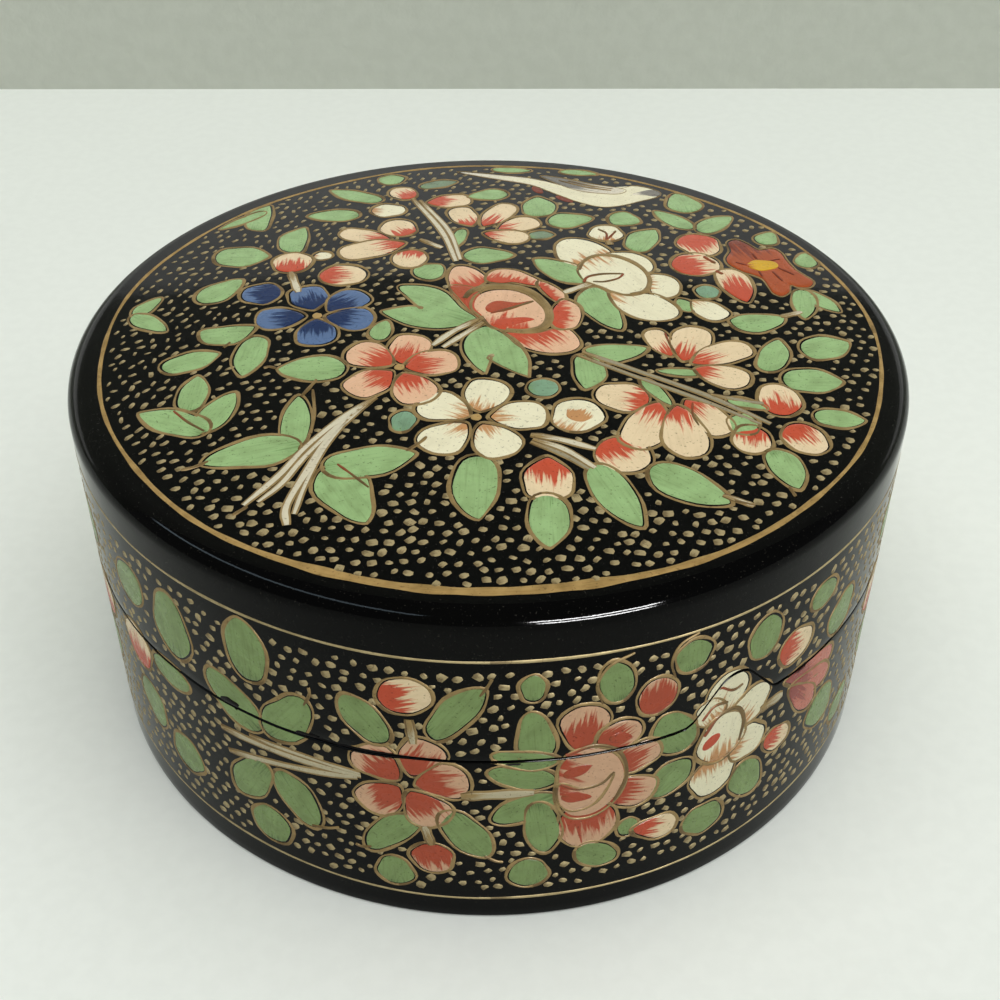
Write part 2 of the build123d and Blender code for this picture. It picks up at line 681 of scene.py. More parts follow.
def write_mesh(name: str, points: np.ndarray, faces: list[Any], weld: float) -> bpy.types.Object:
    """Makes an object of a mesh in millimetres, with doubled points welded.

    Args:
        name: The piece's name.
        points: Its points, in millimetres.
        faces: Arrays of faces, each of three or four columns.
        weld: Points closer than this, in millimetres, become one; 0 welds none.

    Returns:
        The object, in the scene, smooth shaded.
    """
    mesh = bpy.data.meshes.new(name)
    rows = [row for part in faces for row in part.tolist()]
    mesh.from_pydata((points * MM).tolist(), [], rows)
    if weld > 0:
        shape = bmesh.new()
        shape.from_mesh(mesh)
        bmesh.ops.remove_doubles(shape, verts=shape.verts, dist=weld * MM)
        bmesh.ops.dissolve_degenerate(shape, dist=weld * MM * 0.5, edges=shape.edges)
        shape.to_mesh(mesh)
        shape.free()
    mesh.validate()
    mesh.polygons.foreach_set("use_smooth", [True] * len(mesh.polygons))
    thing = bpy.data.objects.new(name, mesh)
    bpy.context.scene.collection.objects.link(thing)
    return thing


def grid_faces(rows: int, columns: int, ring_rows: bool, ring_columns: bool) -> np.ndarray:
    """Four-sided faces between neighbours of a grid of points.

    Args:
        rows: Number of rows.
        columns: Number of columns.
        ring_rows: Whether the last row joins the first.
        ring_columns: Whether the last column joins the first.

    Returns:
        Faces as four point numbers each; a row runs before the next row begins.
    """
    down = np.arange(rows if ring_rows else rows - 1)
    over = np.arange(columns if ring_columns else columns - 1)
    row, column = np.meshgrid(down, over, indexing="ij")
    next_row = (row + 1) % rows
    next_column = (column + 1) % columns
    corners = [
        row * columns + column,
        next_row * columns + column,
        next_row * columns + next_column,
        row * columns + next_column,
    ]
    return np.stack(corners, axis=-1).reshape(-1, 4)


@dataclass
class Shell:
    """A turned body whose sawn edge follows the saw line.

    The section of a ring runs up its outside and down its inside, and the section of a
    cap runs the other way, from the axis outwards.

    Each station is a radius, a height and how far it moves with the saw line, from 0 for
    not at all to 1 for fully. The height at an angle is the station's own height plus that
    share of the cut's rise above its level.
    """

    name: str
    stations: list[tuple[float, float, float]]
    saw: SawLine
    side: float
    ring: bool

    def build(self) -> bpy.types.Object:
        """The shell's mesh, with its poles welded.

        Returns:
            The shell's object.
        """
        turn = self.saw.columns()
        station = np.array(self.stations)
        shift = self.saw.level(turn) - self.saw.sizes.saw_level
        shift = shift + self.side * self.saw.half_gap(turn)
        height = station[:, 1:2] + station[:, 2:3] * shift[None, :]
        radius = np.repeat(station[:, 0:1], len(turn), axis=1)
        points = np.stack([radius * np.sin(turn), -radius * np.cos(turn), height], axis=-1)
        faces = grid_faces(len(station), len(turn), self.ring, True)
        if self.ring:
            faces = faces[:, ::-1]
        return write_mesh(self.name, points.reshape(-1, 3), [faces], 0.002)


def arc_stations(
    centre: tuple[float, float], radius: float, start: float, stop: float, count: int, share: float
) -> list[tuple[float, float, float]]:
    """Stations along an arc: centre plus radius times the cosine and sine of the angle.

    Args:
        centre: Radius and height of the arc's centre.
        radius: The arc's radius.
        start: First angle, degrees.
        stop: Last angle, degrees.
        count: Number of stations.
        share: How far they move with the saw line.

    Returns:
        The stations.
    """
    angles = np.radians(np.linspace(start, stop, count))
    out = centre[0] + radius * np.cos(angles)
    high = centre[1] + radius * np.sin(angles)
    return [(float(r), float(z), share) for r, z in zip(out, high)]


def run_stations(
    first: tuple[float, float, float], last: tuple[float, float, float], count: int
) -> list[tuple[float, float, float]]:
    """Evenly spaced stations on a straight run, its two ends left out."""
    share = np.linspace(0, 1, count + 2)[1:-1, None]
    run = np.array(first) * (1 - share) + np.array(last) * share
    return [tuple(float(part) for part in row) for row in run]


# ---------------------------------------------------------------------------------------
# Painting
# ---------------------------------------------------------------------------------------


class Form(Enum):
    """How a touch's width grows from its base and dies at its tip, as two powers."""

    LEAF = (0.5, 0.74)
    LANCE = (0.8, 0.9)
    EGG = (0.5, 0.56)
    PETAL = (0.75, 0.42)
    ROUND = (0.5, 0.5)
    TEAR = (0.5, 1.2)


class Coat(Enum):
    """The pieces a painting is divided into."""

    LEAVES = "leaves"
    PETALS = "petals"
    STEMS = "stems"
    LINES = "lines"
    GOLD = "gold"
    DOTS = "dots"


def grown(loop: np.ndarray, by: np.ndarray | float) -> np.ndarray:
    """Moves a loop outwards along its normals.

    The normal at a point is at right angles to the line between its two neighbours.

    Args:
        loop: Points round a mark, counter-clockwise.
        by: How far each moves.

    Returns:
        The larger loop.
    """
    run = np.roll(loop, -1, axis=0) - np.roll(loop, 1, axis=0)
    run /= np.maximum(np.linalg.norm(run, axis=1, keepdims=True), 1e-9)
    out = np.stack([run[:, 1], -run[:, 0]], axis=1)
    return loop + out * np.reshape(by, (-1, 1))


def counter_clockwise(loop: np.ndarray) -> np.ndarray:
    """The loop, turned round if its signed area is negative."""
    ahead = np.roll(loop, -1, axis=0)
    area = np.sum(loop[:, 0] * ahead[:, 1] - ahead[:, 0] * loop[:, 1])
    return loop if area > 0 else loop[::-1]


def smooth_course(path: Path, closed: bool, per_span: int = 6) -> np.ndarray:
    """A smooth course through given places.

    Between two places the course is the Catmull-Rom cubic of the four nearest ones. A place
    given twice makes a corner.

    Args:
        path: The places.
        closed: Whether the last place joins the first.
        per_span: Points on each span.

    Returns:
        The course's points.
    """
    knots = np.array(path, float)
    if closed:
        knots = np.vstack([knots[-1:], knots, knots[:2]])
    else:
        knots = np.vstack([2 * knots[0] - knots[1], knots, 2 * knots[-1] - knots[-2]])
    t = np.linspace(0, 1, per_span, endpoint=False)[None, :, None]
    a = knots[:-3, None]
    b = knots[1:-2, None]
    c = knots[2:-1, None]
    d = knots[3:, None]
    cubic = 2 * b + (c - a) * t + (2 * a - 5 * b + 4 * c - d) * t**2
    cubic = 0.5 * (cubic + (3 * b - a - 3 * c + d) * t**3)
    course = cubic.reshape(-1, 2)
    if not closed:
        course = np.vstack([course, knots[-2:-1]])
    return course


@dataclass(frozen=True, kw_only=True)
class Mark:
    """What every closed mark of the brush has: its colours, its outline and its order."""

    coat: Coat = Coat.LEAVES
    pale: Tint = Tint.LEAF
    deep: Tint = Tint.LEAF_SHADE
    reach: float = 0.1
    line: float = 0.4
    order: int = 0


@dataclass(frozen=True)
class Touch(Mark):
    """One closed touch of the brush: about its middle, pointing along its heading.

    The half width at a share u of the length is u to the form's first power times 1 - u to
    the second, made 1 at its widest. Lop moves width from one side to the other, and bend
    turns the touch into an arc that swings by that many degrees from base to tip.
    """

    x: float
    y: float
    length: float
    width: float
    heading: float
    bend: float = 0.0
    lop: float = 0.0
    form: Form = Form.LEAF

    def loop(self) -> np.ndarray:
        """The touch's edge, bent, turned and put in its place, counter-clockwise."""
        angles = np.linspace(0, TURN, 29)[:-1]
        base, tip = self.form.value
        share = (1 - np.cos(angles)) / 2
        widest = (base / (base + tip)) ** base * (tip / (base + tip)) ** tip
        half = 0.5 * self.width * share**base * (1 - share) ** tip / widest
        own = self.x * 1.7 + self.y * 2.3
        half = half * (1 + 0.06 * np.sin(3 * angles + own) + 0.04 * np.sin(5 * angles - own))
        left = np.sin(angles) >= 0
        across = np.where(left, half * (1 + self.lop), -half * (1 - self.lop))
        along = (share - 0.5) * self.length
        curve = radians(self.bend + 7 * sin(own * 3)) / self.length
        ahead = (1 / curve - across) * np.sin(along * curve)
        aside = 1 / curve - (1 / curve - across) * np.cos(along * curve)
        turn = radians(self.heading)
        x = self.x + ahead * cos(turn) - aside * sin(turn)
        y = self.y + ahead * sin(turn) + aside * cos(turn)
        return counter_clockwise(np.stack([x, y], axis=-1))

    def moved(self, shift: float, mirror: bool) -> "Touch":
        """The touch further round the wall, and mirrored if asked."""
        if not mirror:
            return replace(self, x=self.x + shift)
        turned = {"heading": 180.0 - self.heading, "bend": -self.bend, "lop": -self.lop}
        return replace(self, x=shift - self.x, **turned)

    def slid(self, down: float) -> "Touch":
        """The touch moved towards the front."""
        return replace(self, y=self.y - down)


@dataclass(frozen=True)
class Patch(Mark):
    """A mark with a shape of its own, drawn through given places round its edge."""

    path: Path
    heading: float = 90.0

    def loop(self) -> np.ndarray:
        """The smooth loop through the places, counter-clockwise."""
        return counter_clockwise(smooth_course(self.path, True, 5))

    def moved(self, shift: float, mirror: bool) -> "Patch":
        """The mark further round the wall, and mirrored if asked."""
        sign = -1.0 if mirror else 1.0
        heading = 180.0 - self.heading if mirror else self.heading
        path = tuple((shift + sign * x, y) for x, y in self.path)
        return replace(self, path=path, heading=heading)


@dataclass(frozen=True)
class Pen:
    """A drawn line through given places, of a width that swells and dies."""

    path: Path
    width: float
    coat: Coat = Coat.STEMS
    pale: Tint = Tint.STEM
    deep: Tint = Tint.LINE
    taper: float = 0.5
    order: int = 3
    line: float = 0.0

    def moved(self, shift: float, mirror: bool) -> "Pen":
        """The line further round the wall, and mirrored if asked."""
        sign = -1.0 if mirror else 1.0
        return replace(self, path=tuple((shift + sign * x, y) for x, y in self.path))


def strip_sides(course: np.ndarray, half: np.ndarray, closed: bool) -> tuple[np.ndarray, Any]:
    """The unit normal of each point of a course, and its half width as a column."""
    if closed:
        run = np.roll(course, -1, axis=0) - np.roll(course, 1, axis=0)
    else:
        run = np.gradient(course, axis=0)
    run /= np.maximum(np.linalg.norm(run, axis=1, keepdims=True), 1e-9)
    return np.stack([-run[:, 1], run[:, 0]], axis=1), half[:, None]


def inside(places: np.ndarray, loop: np.ndarray) -> np.ndarray:
    """Whether places are inside a loop: a ray to the right crosses it an odd number of times.

    Args:
        places: Places to test.
        loop: The loop's corners.

    Returns:
        One truth value for each place.
    """
    x = places[:, None, 0]
    y = places[:, None, 1]
    x0, y0 = loop.T
    x1, y1 = np.roll(loop, -1, axis=0).T
    crosses = (y0 > y) != (y1 > y)
    rise = np.where(np.abs(y1 - y0) < 1e-12, 1e-12, y1 - y0)
    at = x0 + (y - y0) * (x1 - x0) / rise
    return np.count_nonzero(crosses & (x < at), axis=1) % 2 == 1


@dataclass
class Painting:
    """Everything painted on one surface, in the order it is painted."""

    marks: list[Any] = field(default_factory=list)
    pens: list[Pen] = field(default_factory=list)

    def loops(self, margin: float) -> list[np.ndarray]:
        """The edge of every mark and pen line, moved out by a margin.

        Args:
            margin: How far the edges are moved out.

        Returns:
            One closed loop for each.
        """
        found = [grown(mark.loop(), mark.line * 0.8 + margin) for mark in self.marks]
        for pen in self.pens:
            course = smooth_course(pen.path, False)
            half = np.full(len(course), pen.width / 2 + pen.line + margin * 0.7)
            side, out = strip_sides(course, half, False)
            found.append(np.vstack([course + side * out, (course - side * out)[::-1]]))
        return found

    def free(self, places: np.ndarray, margin: float) -> np.ndarray:
        """Whether each place has no mark or line within the margin."""
        taken = np.zeros(len(places), bool)
        for loop in self.loops(margin):
            low = loop.min(axis=0)
            high = loop.max(axis=0)
            near = np.all((places > low) & (places < high), axis=1)
            taken[near] |= inside(places[near], loop)
        return ~taken


@dataclass
class Film:
    """Paint of one kind on one surface, gathered into one mesh."""

    surface: Any
    points: list[np.ndarray] = field(default_factory=list)
    faces: list[np.ndarray] = field(default_factory=list)
    touch: list[np.ndarray] = field(default_factory=list)
    pale: list[np.ndarray] = field(default_factory=list)
    deep: list[np.ndarray] = field(default_factory=list)
    reach: list[np.ndarray] = field(default_factory=list)
    count: int = 0
    height: float = 0.022
    sink: float = 0.03
    line_height: float = 0.026
    step: float = 0.0085

    def add(
        self,
        plan: np.ndarray,
        lift: np.ndarray,
        faces: Sequence[np.ndarray],
        where: np.ndarray,
        colours: tuple[Tint, Tint],
        reach: float,
    ) -> None:
        """Adds one patch.

        Args:
            plan: Places of its points on the surface.
            lift: Height of each above the lacquer.
            faces: Its faces, by point number.
            where: For each point, how far along and across its mark it is, and a number.
            colours: The pale and the deep colour.
            reach: How far the deep colour reaches from the base, as a share of the length.
        """
        plan, mine = self.surface.kept(plan)
        if not mine.any():
            return
        self.points.append(self.surface.raised(plan, lift))
        for part in faces:
            self.faces.append(part[mine[part].any(axis=1)] + self.count)
        amount = len(plan)
        self.count += amount
        self.touch.append(where)
        self.pale.append(np.tile(colours[0].linear(), (amount, 1)))
        self.deep.append(np.tile(colours[1].linear(), (amount, 1)))
        self.reach.append(np.full(amount, reach))

    def lay(self, mark: Any, own: float) -> None:
        """Lays one closed mark as a low pillow.

        Rings shrink from the edge to the middle. The paint reaches its full height close to
        the edge, and the edge itself dips below the lacquer so that no side shows.

        Args:
            mark: The mark.
            own: A number of its own for the streaks.
        """
        edge = mark.loop()
        size = len(edge)
        middle = edge.mean(axis=0)
        rings = np.array([1.0, 0.965, 0.86, 0.5])
        rise = np.array([0.0, 0.8, 0.94, 1.0, 1.0])
        plan = middle + rings[:, None, None] * (edge - middle)
        plan = np.vstack([plan.reshape(-1, 2), middle[None]])
        share = np.append(np.repeat(rings, size), 0.0)
        lift = self.height * np.append(np.repeat(rise[:-1], size), 1.0)
        lift = np.where(share > 0.99, -self.sink, lift + self.step * mark.order)
        turn = radians(mark.heading)
        along = plan @ np.array([cos(turn), sin(turn)])
        across = plan @ np.array([-sin(turn), cos(turn)])
        along = (along - along.min()) / np.ptp(along)
        across = 2 * (across - across.min()) / np.ptp(across) - 1
        where = np.stack([along, across, np.full(len(share), own)], axis=1)
        quads = grid_faces(len(rings), size, False, True)[:, ::-1]
        step = np.arange(size)
        inner = (len(rings) - 1) * size
        centre = np.full(size, len(rings) * size)
        fan = np.stack([inner + step, inner + (step + 1) % size, centre], axis=1)
        self.add(plan, lift, [quads, fan], where, (mark.pale, mark.deep), mark.reach)

    def draw(
        self,
        course: np.ndarray,
        half: np.ndarray,
        closed: bool,
        colours: tuple[Tint, Tint],
        order: float,
        own: float,
    ) -> None:
        """Draws a line as a low ridge, its two edges below the lacquer.

        Args:
            course: The places it runs through.
            half: Half its width at each.
            closed: Whether it joins its start.
            colours: The pale and the deep colour.
            order: Its place in the order of painting.
            own: A number of its own.
        """
        side, out = strip_sides(course, half, closed)
        offsets = np.array([-1.0, -0.7, 0.7, 1.0])
        heights = np.array([-self.sink, 0.0, 0.0, -self.sink])
        heights[1:3] = self.line_height + self.step * order
        plan = np.concatenate([course + side * out * part for part in offsets])
        lift = np.repeat(heights, len(course))
        faces = grid_faces(4, len(course), False, closed)[:, ::-1]
        steps = np.linalg.norm(np.diff(course, axis=0), axis=1)
        along = np.concatenate([[0.0], np.cumsum(steps)]) * 0.2
        where = [np.tile(along, 4), np.repeat(offsets, len(course)), np.full(len(lift), own)]
        self.add(plan, lift, [faces], np.stack(where, axis=1), colours, 0.4)

    def build(self, name: str, material: bpy.types.Material) -> bpy.types.Object | None:
        """Writes the film's mesh with what its material reads.

        Args:
            name: The piece's name.
            material: Its paint.

        Returns:
            The piece, or nothing if there is no paint in it.
        """
        if not self.count:
            return None
        thing = write_mesh(name, np.concatenate(self.points), self.faces, 0.0)
        mesh = thing.data
        values = {
            "touch": ("FLOAT_VECTOR", "vector", self.touch),
            "pale": ("FLOAT_COLOR", "color", self.pale),
            "deep": ("FLOAT_COLOR", "color", self.deep),
            "reach": ("FLOAT", "value", self.reach),
        }
        for key, (kind, slot, parts) in values.items():
            layer = mesh.attributes.new(key, kind, "POINT")
            layer.data.foreach_set(slot, np.concatenate(parts).astype(np.float32).ravel())
        trimmed = bmesh.new()
        trimmed.from_mesh(mesh)
        loose = [vert for vert in trimmed.verts if not vert.link_faces]
        bmesh.ops.delete(trimmed, geom=loose, context="VERTS")
        bmesh.ops.dissolve_degenerate(trimmed, dist=0.0005 * MM, edges=trimmed.edges)
        trimmed.normal_update()
        out = self.surface.outward
        inward = [f for f in trimmed.faces if f.normal.dot(out(f.calc_center_median())) < 0]
        bmesh.ops.reverse_faces(trimmed, faces=inward)
        trimmed.to_mesh(mesh)
        trimmed.free()
        mesh.polygons.foreach_set("use_smooth", [True] * len(mesh.polygons))
        mesh.materials.append(material)
        return thing


@dataclass
class Painter:
    """Paints one surface: leaves, petals, stems, outlines, gold lines and dots."""

    surface: Any
    painting: Painting
    prefix: str
    half: Half
    seed: int

    def outline(self, film: Film, mark: Any, own: float, chance: np.random.Generator) -> None:
        """Draws round a mark by hand: a line that swells, and that strays a little from it.

        Args:
            film: The film of outlines.
            mark: The mark.
            own: A number of its own.
            chance: The source of random numbers.
        """
        loop = mark.loop()
        angles = np.linspace(0, TURN, len(loop) + 1)[:-1]
        stray = 0.07 + 0.1 * np.sin(angles + own * 40)
        loop = grown(loop, mark.line * 0.32 + stray) + chance.normal(0, 0.03, 2)
        swell = 1 + 0.3 * np.sin(angles * 2 + own * 9) + 0.16 * np.sin(angles * 5 + own)
        tints = (Tint.LINE, Tint.LINE_SHADE)
        film.draw(loop, 0.5 * mark.line * swell, True, tints, mark.order, own)

    def paint(self, paints: dict[Coat, bpy.types.Material], dots: "Dots | None") -> list[Any]:
        """Lays every mark and line and makes the pieces.

        Args:
            paints: The material of each coat.
            dots: The gold dots of the ground.

        Returns:
            The pieces.
        """
        chance = np.random.default_rng(self.seed)
        films = {coat: Film(self.surface) for coat in Coat}
        lines = films[Coat.LINES]
        for mark in self.painting.marks:
            own = float(chance.random())
            films[mark.coat].lay(mark, own)
            if mark.line > 0:
                self.outline(lines, mark, own, chance)
        for pen in self.painting.pens:
            own = float(chance.random())
            course = smooth_course(pen.path, False)
            share = np.linspace(0, 1, len(course))
            fade = np.minimum(1, np.minimum(share, 1 - share) * 6 + 0.25)
            half = 0.5 * pen.width * (1 - pen.taper * (1 - fade))
            half = half * (1 + 0.12 * np.sin(share * 11 + own * 7))
            if pen.line > 0:
                edge = (Tint.LINE, Tint.LINE_SHADE)
                lines.draw(course, half + pen.line, False, edge, pen.order - 1.5, own)
            films[pen.coat].draw(course, half, False, (pen.pale, pen.deep), pen.order, own)
        if dots is not None:
            dots.scatter(films[Coat.DOTS], self.painting, chance)
        pieces = []
        for coat, film in films.items():
            piece = film.build(f"{self.prefix}_{coat.value}", paints[coat])
            if piece is None:
                continue
            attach(piece, self.half.value)
            LOG.info("%s: %d faces", piece.name, len(piece.data.polygons))
            pieces.append(piece)
        return pieces


@dataclass(frozen=True)
class Dots:
    """Gold dots that fill the black ground, each a low eight-sided bead.

    They stand on a grid of even triangles, moved a little at random, and stay clear of
    everything painted.
    """

    low: tuple[float, float]
    high: tuple[float, float]
    spacing: float = 1.55
    size: float = 0.86
    margin: float = 0.34
    disc: float = 0.0
    corners: int = 8

    def places(self, chance: np.random.Generator) -> np.ndarray:
        """Places of the triangular grid, each moved by up to a quarter of the spacing.

        Args:
            chance: The source of random numbers.

        Returns:
            The places.
        """
        across = np.arange(self.low[0], self.high[0], self.spacing)
        up = np.arange(self.low[1], self.high[1], self.spacing * 0.866)
        x, y = np.meshgrid(across, up)
        x = x + (np.arange(len(up)) % 2)[:, None] * self.spacing / 2
        places = np.stack([x.ravel(), y.ravel()], axis=1)
        places = places + chance.uniform(-0.17, 0.17, places.shape) * self.spacing
        bow = np.sin(places[:, ::-1] * 0.32) + 0.6 * np.sin(places[:, ::-1] * 0.83 + 1.0)
        places = places + 0.3 * bow
        if self.disc:
            places = places[np.hypot(places[:, 0] - 0.25, places[:, 1] + 0.3) < self.disc]
        else:
            places = places[(places[:, 1] > self.low[1]) & (places[:, 1] < self.high[1])]
        return places

    def scatter(self, film: Film, painting: Painting, chance: np.random.Generator) -> None:
        """Adds every dot that has room.

        Left of the middle of the lid a dot is a slanted stroke, elsewhere a squarish one.

        Args:
            film: The film of gold dots.
            painting: What the dots stay clear of.
            chance: The source of random numbers.
        """
        places = self.places(chance)
        places = places[painting.free(places, self.margin)]
        mine = film.surface.kept(places)[1]
        if isinstance(film.surface, WallSurface):
            turn = places[:, 0] / film.surface.sizes.radius
            mine &= np.abs(places[:, 1] - film.surface.saw.level(turn)) > self.size * 0.9
        places = places[mine]
        amount = len(places)
        slant = np.zeros(amount)
        if self.disc:
            slant = np.clip((-places[:, 0] - 6 + 0.5 * places[:, 1]) / 20, 0, 1)
        turn = radians(62) * slant + (1 - slant) * chance.uniform(-0.6, 1.2, amount)
        turn = turn + chance.normal(0, 0.3, amount)
        back = np.zeros(amount)
        if self.disc:
            back = np.clip((places[:, 1] + 16) / 16, -0.6, 0.5) + 0.6 * slant
        size = self.size * (1 - 0.12 * back) * chance.uniform(0.74, 1.22, amount)
        long = size * (0.56 + 0.12 * slant)
        short = size * (0.46 - 0.14 * slant) * chance.uniform(0.8, 1.12, amount)
        sides = self.corners
        angles = np.linspace(0, TURN, sides + 1)[:-1]
        square = (np.abs(np.cos(angles)) ** 3 + np.abs(np.sin(angles)) ** 3) ** (-1 / 3)
        uneven = square * chance.uniform(0.76, 1.1, (amount, sides))
        ring = np.stack([np.cos(angles) * uneven, np.sin(angles) * uneven], axis=-1)
        rings = np.concatenate([ring * 1.06, ring * 0.84, np.zeros((amount, 1, 2))], axis=1)
        lift = np.concatenate([np.full(sides, -film.sink), np.full(sides, 0.022), [0.034]])
        ahead = rings[:, :, 0] * long[:, None]
        aside = rings[:, :, 1] * short[:, None]
        x = places[:, None, 0] + ahead * np.cos(turn)[:, None] - aside * np.sin(turn)[:, None]
        y = places[:, None, 1] + ahead * np.sin(turn)[:, None] + aside * np.cos(turn)[:, None]
        plan = np.stack([x, y], axis=-1).reshape(-1, 2)
        band = grid_faces(2, sides, False, True)[:, ::-1]
        step = np.arange(sides)
        tip = np.full(sides, 2 * sides)
        fan = np.stack([sides + step, sides + (step + 1) % sides, tip], axis=1)
        first = (np.arange(amount) * (2 * sides + 1))[:, None, None]
        faces = [(part[None] + first).reshape(-1, part.shape[1]) for part in (band, fan)]
        own = np.repeat(chance.random(amount), 2 * sides + 1)
        flat = rings.reshape(-1, 2)
        where = np.stack([flat[:, 0] * 0.5 + 0.5, flat[:, 1], own], axis=1)
        film.add(plan, np.tile(lift, amount), faces, where, (Tint.DOT, Tint.DOT_SHADE), 0.45)


def petals(
    centre: Place, middles: Path, size: Place, tints: tuple[Tint, Tint], reach: float
) -> list[Touch]:
    """Petals round a centre, each pointing away from it.

    Args:
        centre: The flower's centre.
        middles: The middle of each petal.
        size: Their length and width.
        tints: Colour of the petal's body, and the colour feathered out from its base.
        reach: How far the deep colour reaches.

    Returns:
        The petals.
    """
    made = []
    for index, (x, y) in enumerate(middles):
        heading = degrees(atan2(y - centre[1], x - centre[0]))
        made.append(
            Touch(
                x,
                y,
                *size,
                heading,
                form=Form.PETAL,
                coat=Coat.PETALS,
                pale=tints[0],
                deep=tints[1],
                reach=reach,
                order=index % 3,
            )
        )
    return made


def blooms(rows: Table, tints: tuple[Tint, Tint], reach: float, start: int = 0) -> list[Touch]:
    """Separate petals and buds, each (x, y, length, width, heading) and perhaps a bend.

    Args:
        rows: Place, size and heading of each.
        tints: Colour of its body, and the colour feathered from its base.
        reach: How far the deep colour reaches.
        start: Order of the first.

    Returns:
        The petals.
    """
    made = []
    for index, row in enumerate(rows):
        bend = row[5] if len(row) > 5 else 0.0
        made.append(
            Touch(
                *row[:5],
                bend=bend,
                form=Form.ROUND if abs(row[2] - row[3]) < 1.2 else Form.PETAL,
                coat=Coat.PETALS,
                pale=tints[0],
                deep=tints[1],
                reach=reach,
                order=start + index % 4,
            )
        )
    return made


def leaves(rows: Table, tints: tuple[Tint, Tint], form: Form = Form.LEAF) -> list[Touch]:
    """Leaves, each (x, y, length, width, heading) and perhaps a bend and a lop.

    Args:
        rows: Place, size and heading of each.
        tints: Colour of its body, and the colour at its base.
        form: Their shape.

    Returns:
        The leaves.
    """
    made = []
    for index, row in enumerate(rows):
        bend = row[5] if len(row) > 5 else 0.0
        lop = row[6] if len(row) > 6 else 0.12 * sin(index * 2.4)
        mark = Touch(*row[:5], bend=bend, lop=lop, form=form, pale=tints[0], deep=tints[1])
        made.append(replace(mark, reach=0.06, order=index % 3))
    return made


def patches(
    rows: tuple[tuple[float, Path], ...], tints: tuple[Tint, Tint], reach: float, start: int = 0
) -> list[Patch]:
    """Petals with shapes of their own, each a heading and the places round its edge.

    Args:
        rows: Heading and outline of each.
        tints: Colour of its body, and the colour feathered from its base.
        reach: How far the deep colour reaches.
        start: Order of the first.

    Returns:
        The petals.
    """
    made = []
    for index, (heading, path) in enumerate(rows):
        mark = Patch(path, heading, coat=Coat.PETALS, pale=tints[0], deep=tints[1])
        made.append(replace(mark, reach=reach, order=start + index % 4))
    return made


def strokes(rows: tuple[tuple[float, Path], ...], line: float, **looks: Any) -> list[Pen]:
    """Pen lines that share their looks, each a width and the places it runs through."""
    return [Pen(path, width, line=line, **looks) for width, path in rows]


LEAF_TINTS = (Tint.LEAF, Tint.LEAF_SHADE)
# Wall leaf tints: the leaf greens darkened as painted shade for the wall.
SHADED_WALL_LEAF_TINTS = (Tint.SHADED_WALL_LEAF, Tint.SHADED_WALL_LEAF_DEEP)
CORAL_TINTS = (Tint.PEACH, Tint.CORAL)
# Wall coral tints: peach and coral darkened as painted shade for the wall.
SHADED_WALL_CORAL_TINTS = (Tint.SHADED_WALL_PEACH, Tint.SHADED_WALL_CORAL)
BUD_TINTS = (Tint.IVORY, Tint.CORAL)
CREAM_TINTS = (Tint.CREAM, Tint.BISCUIT)


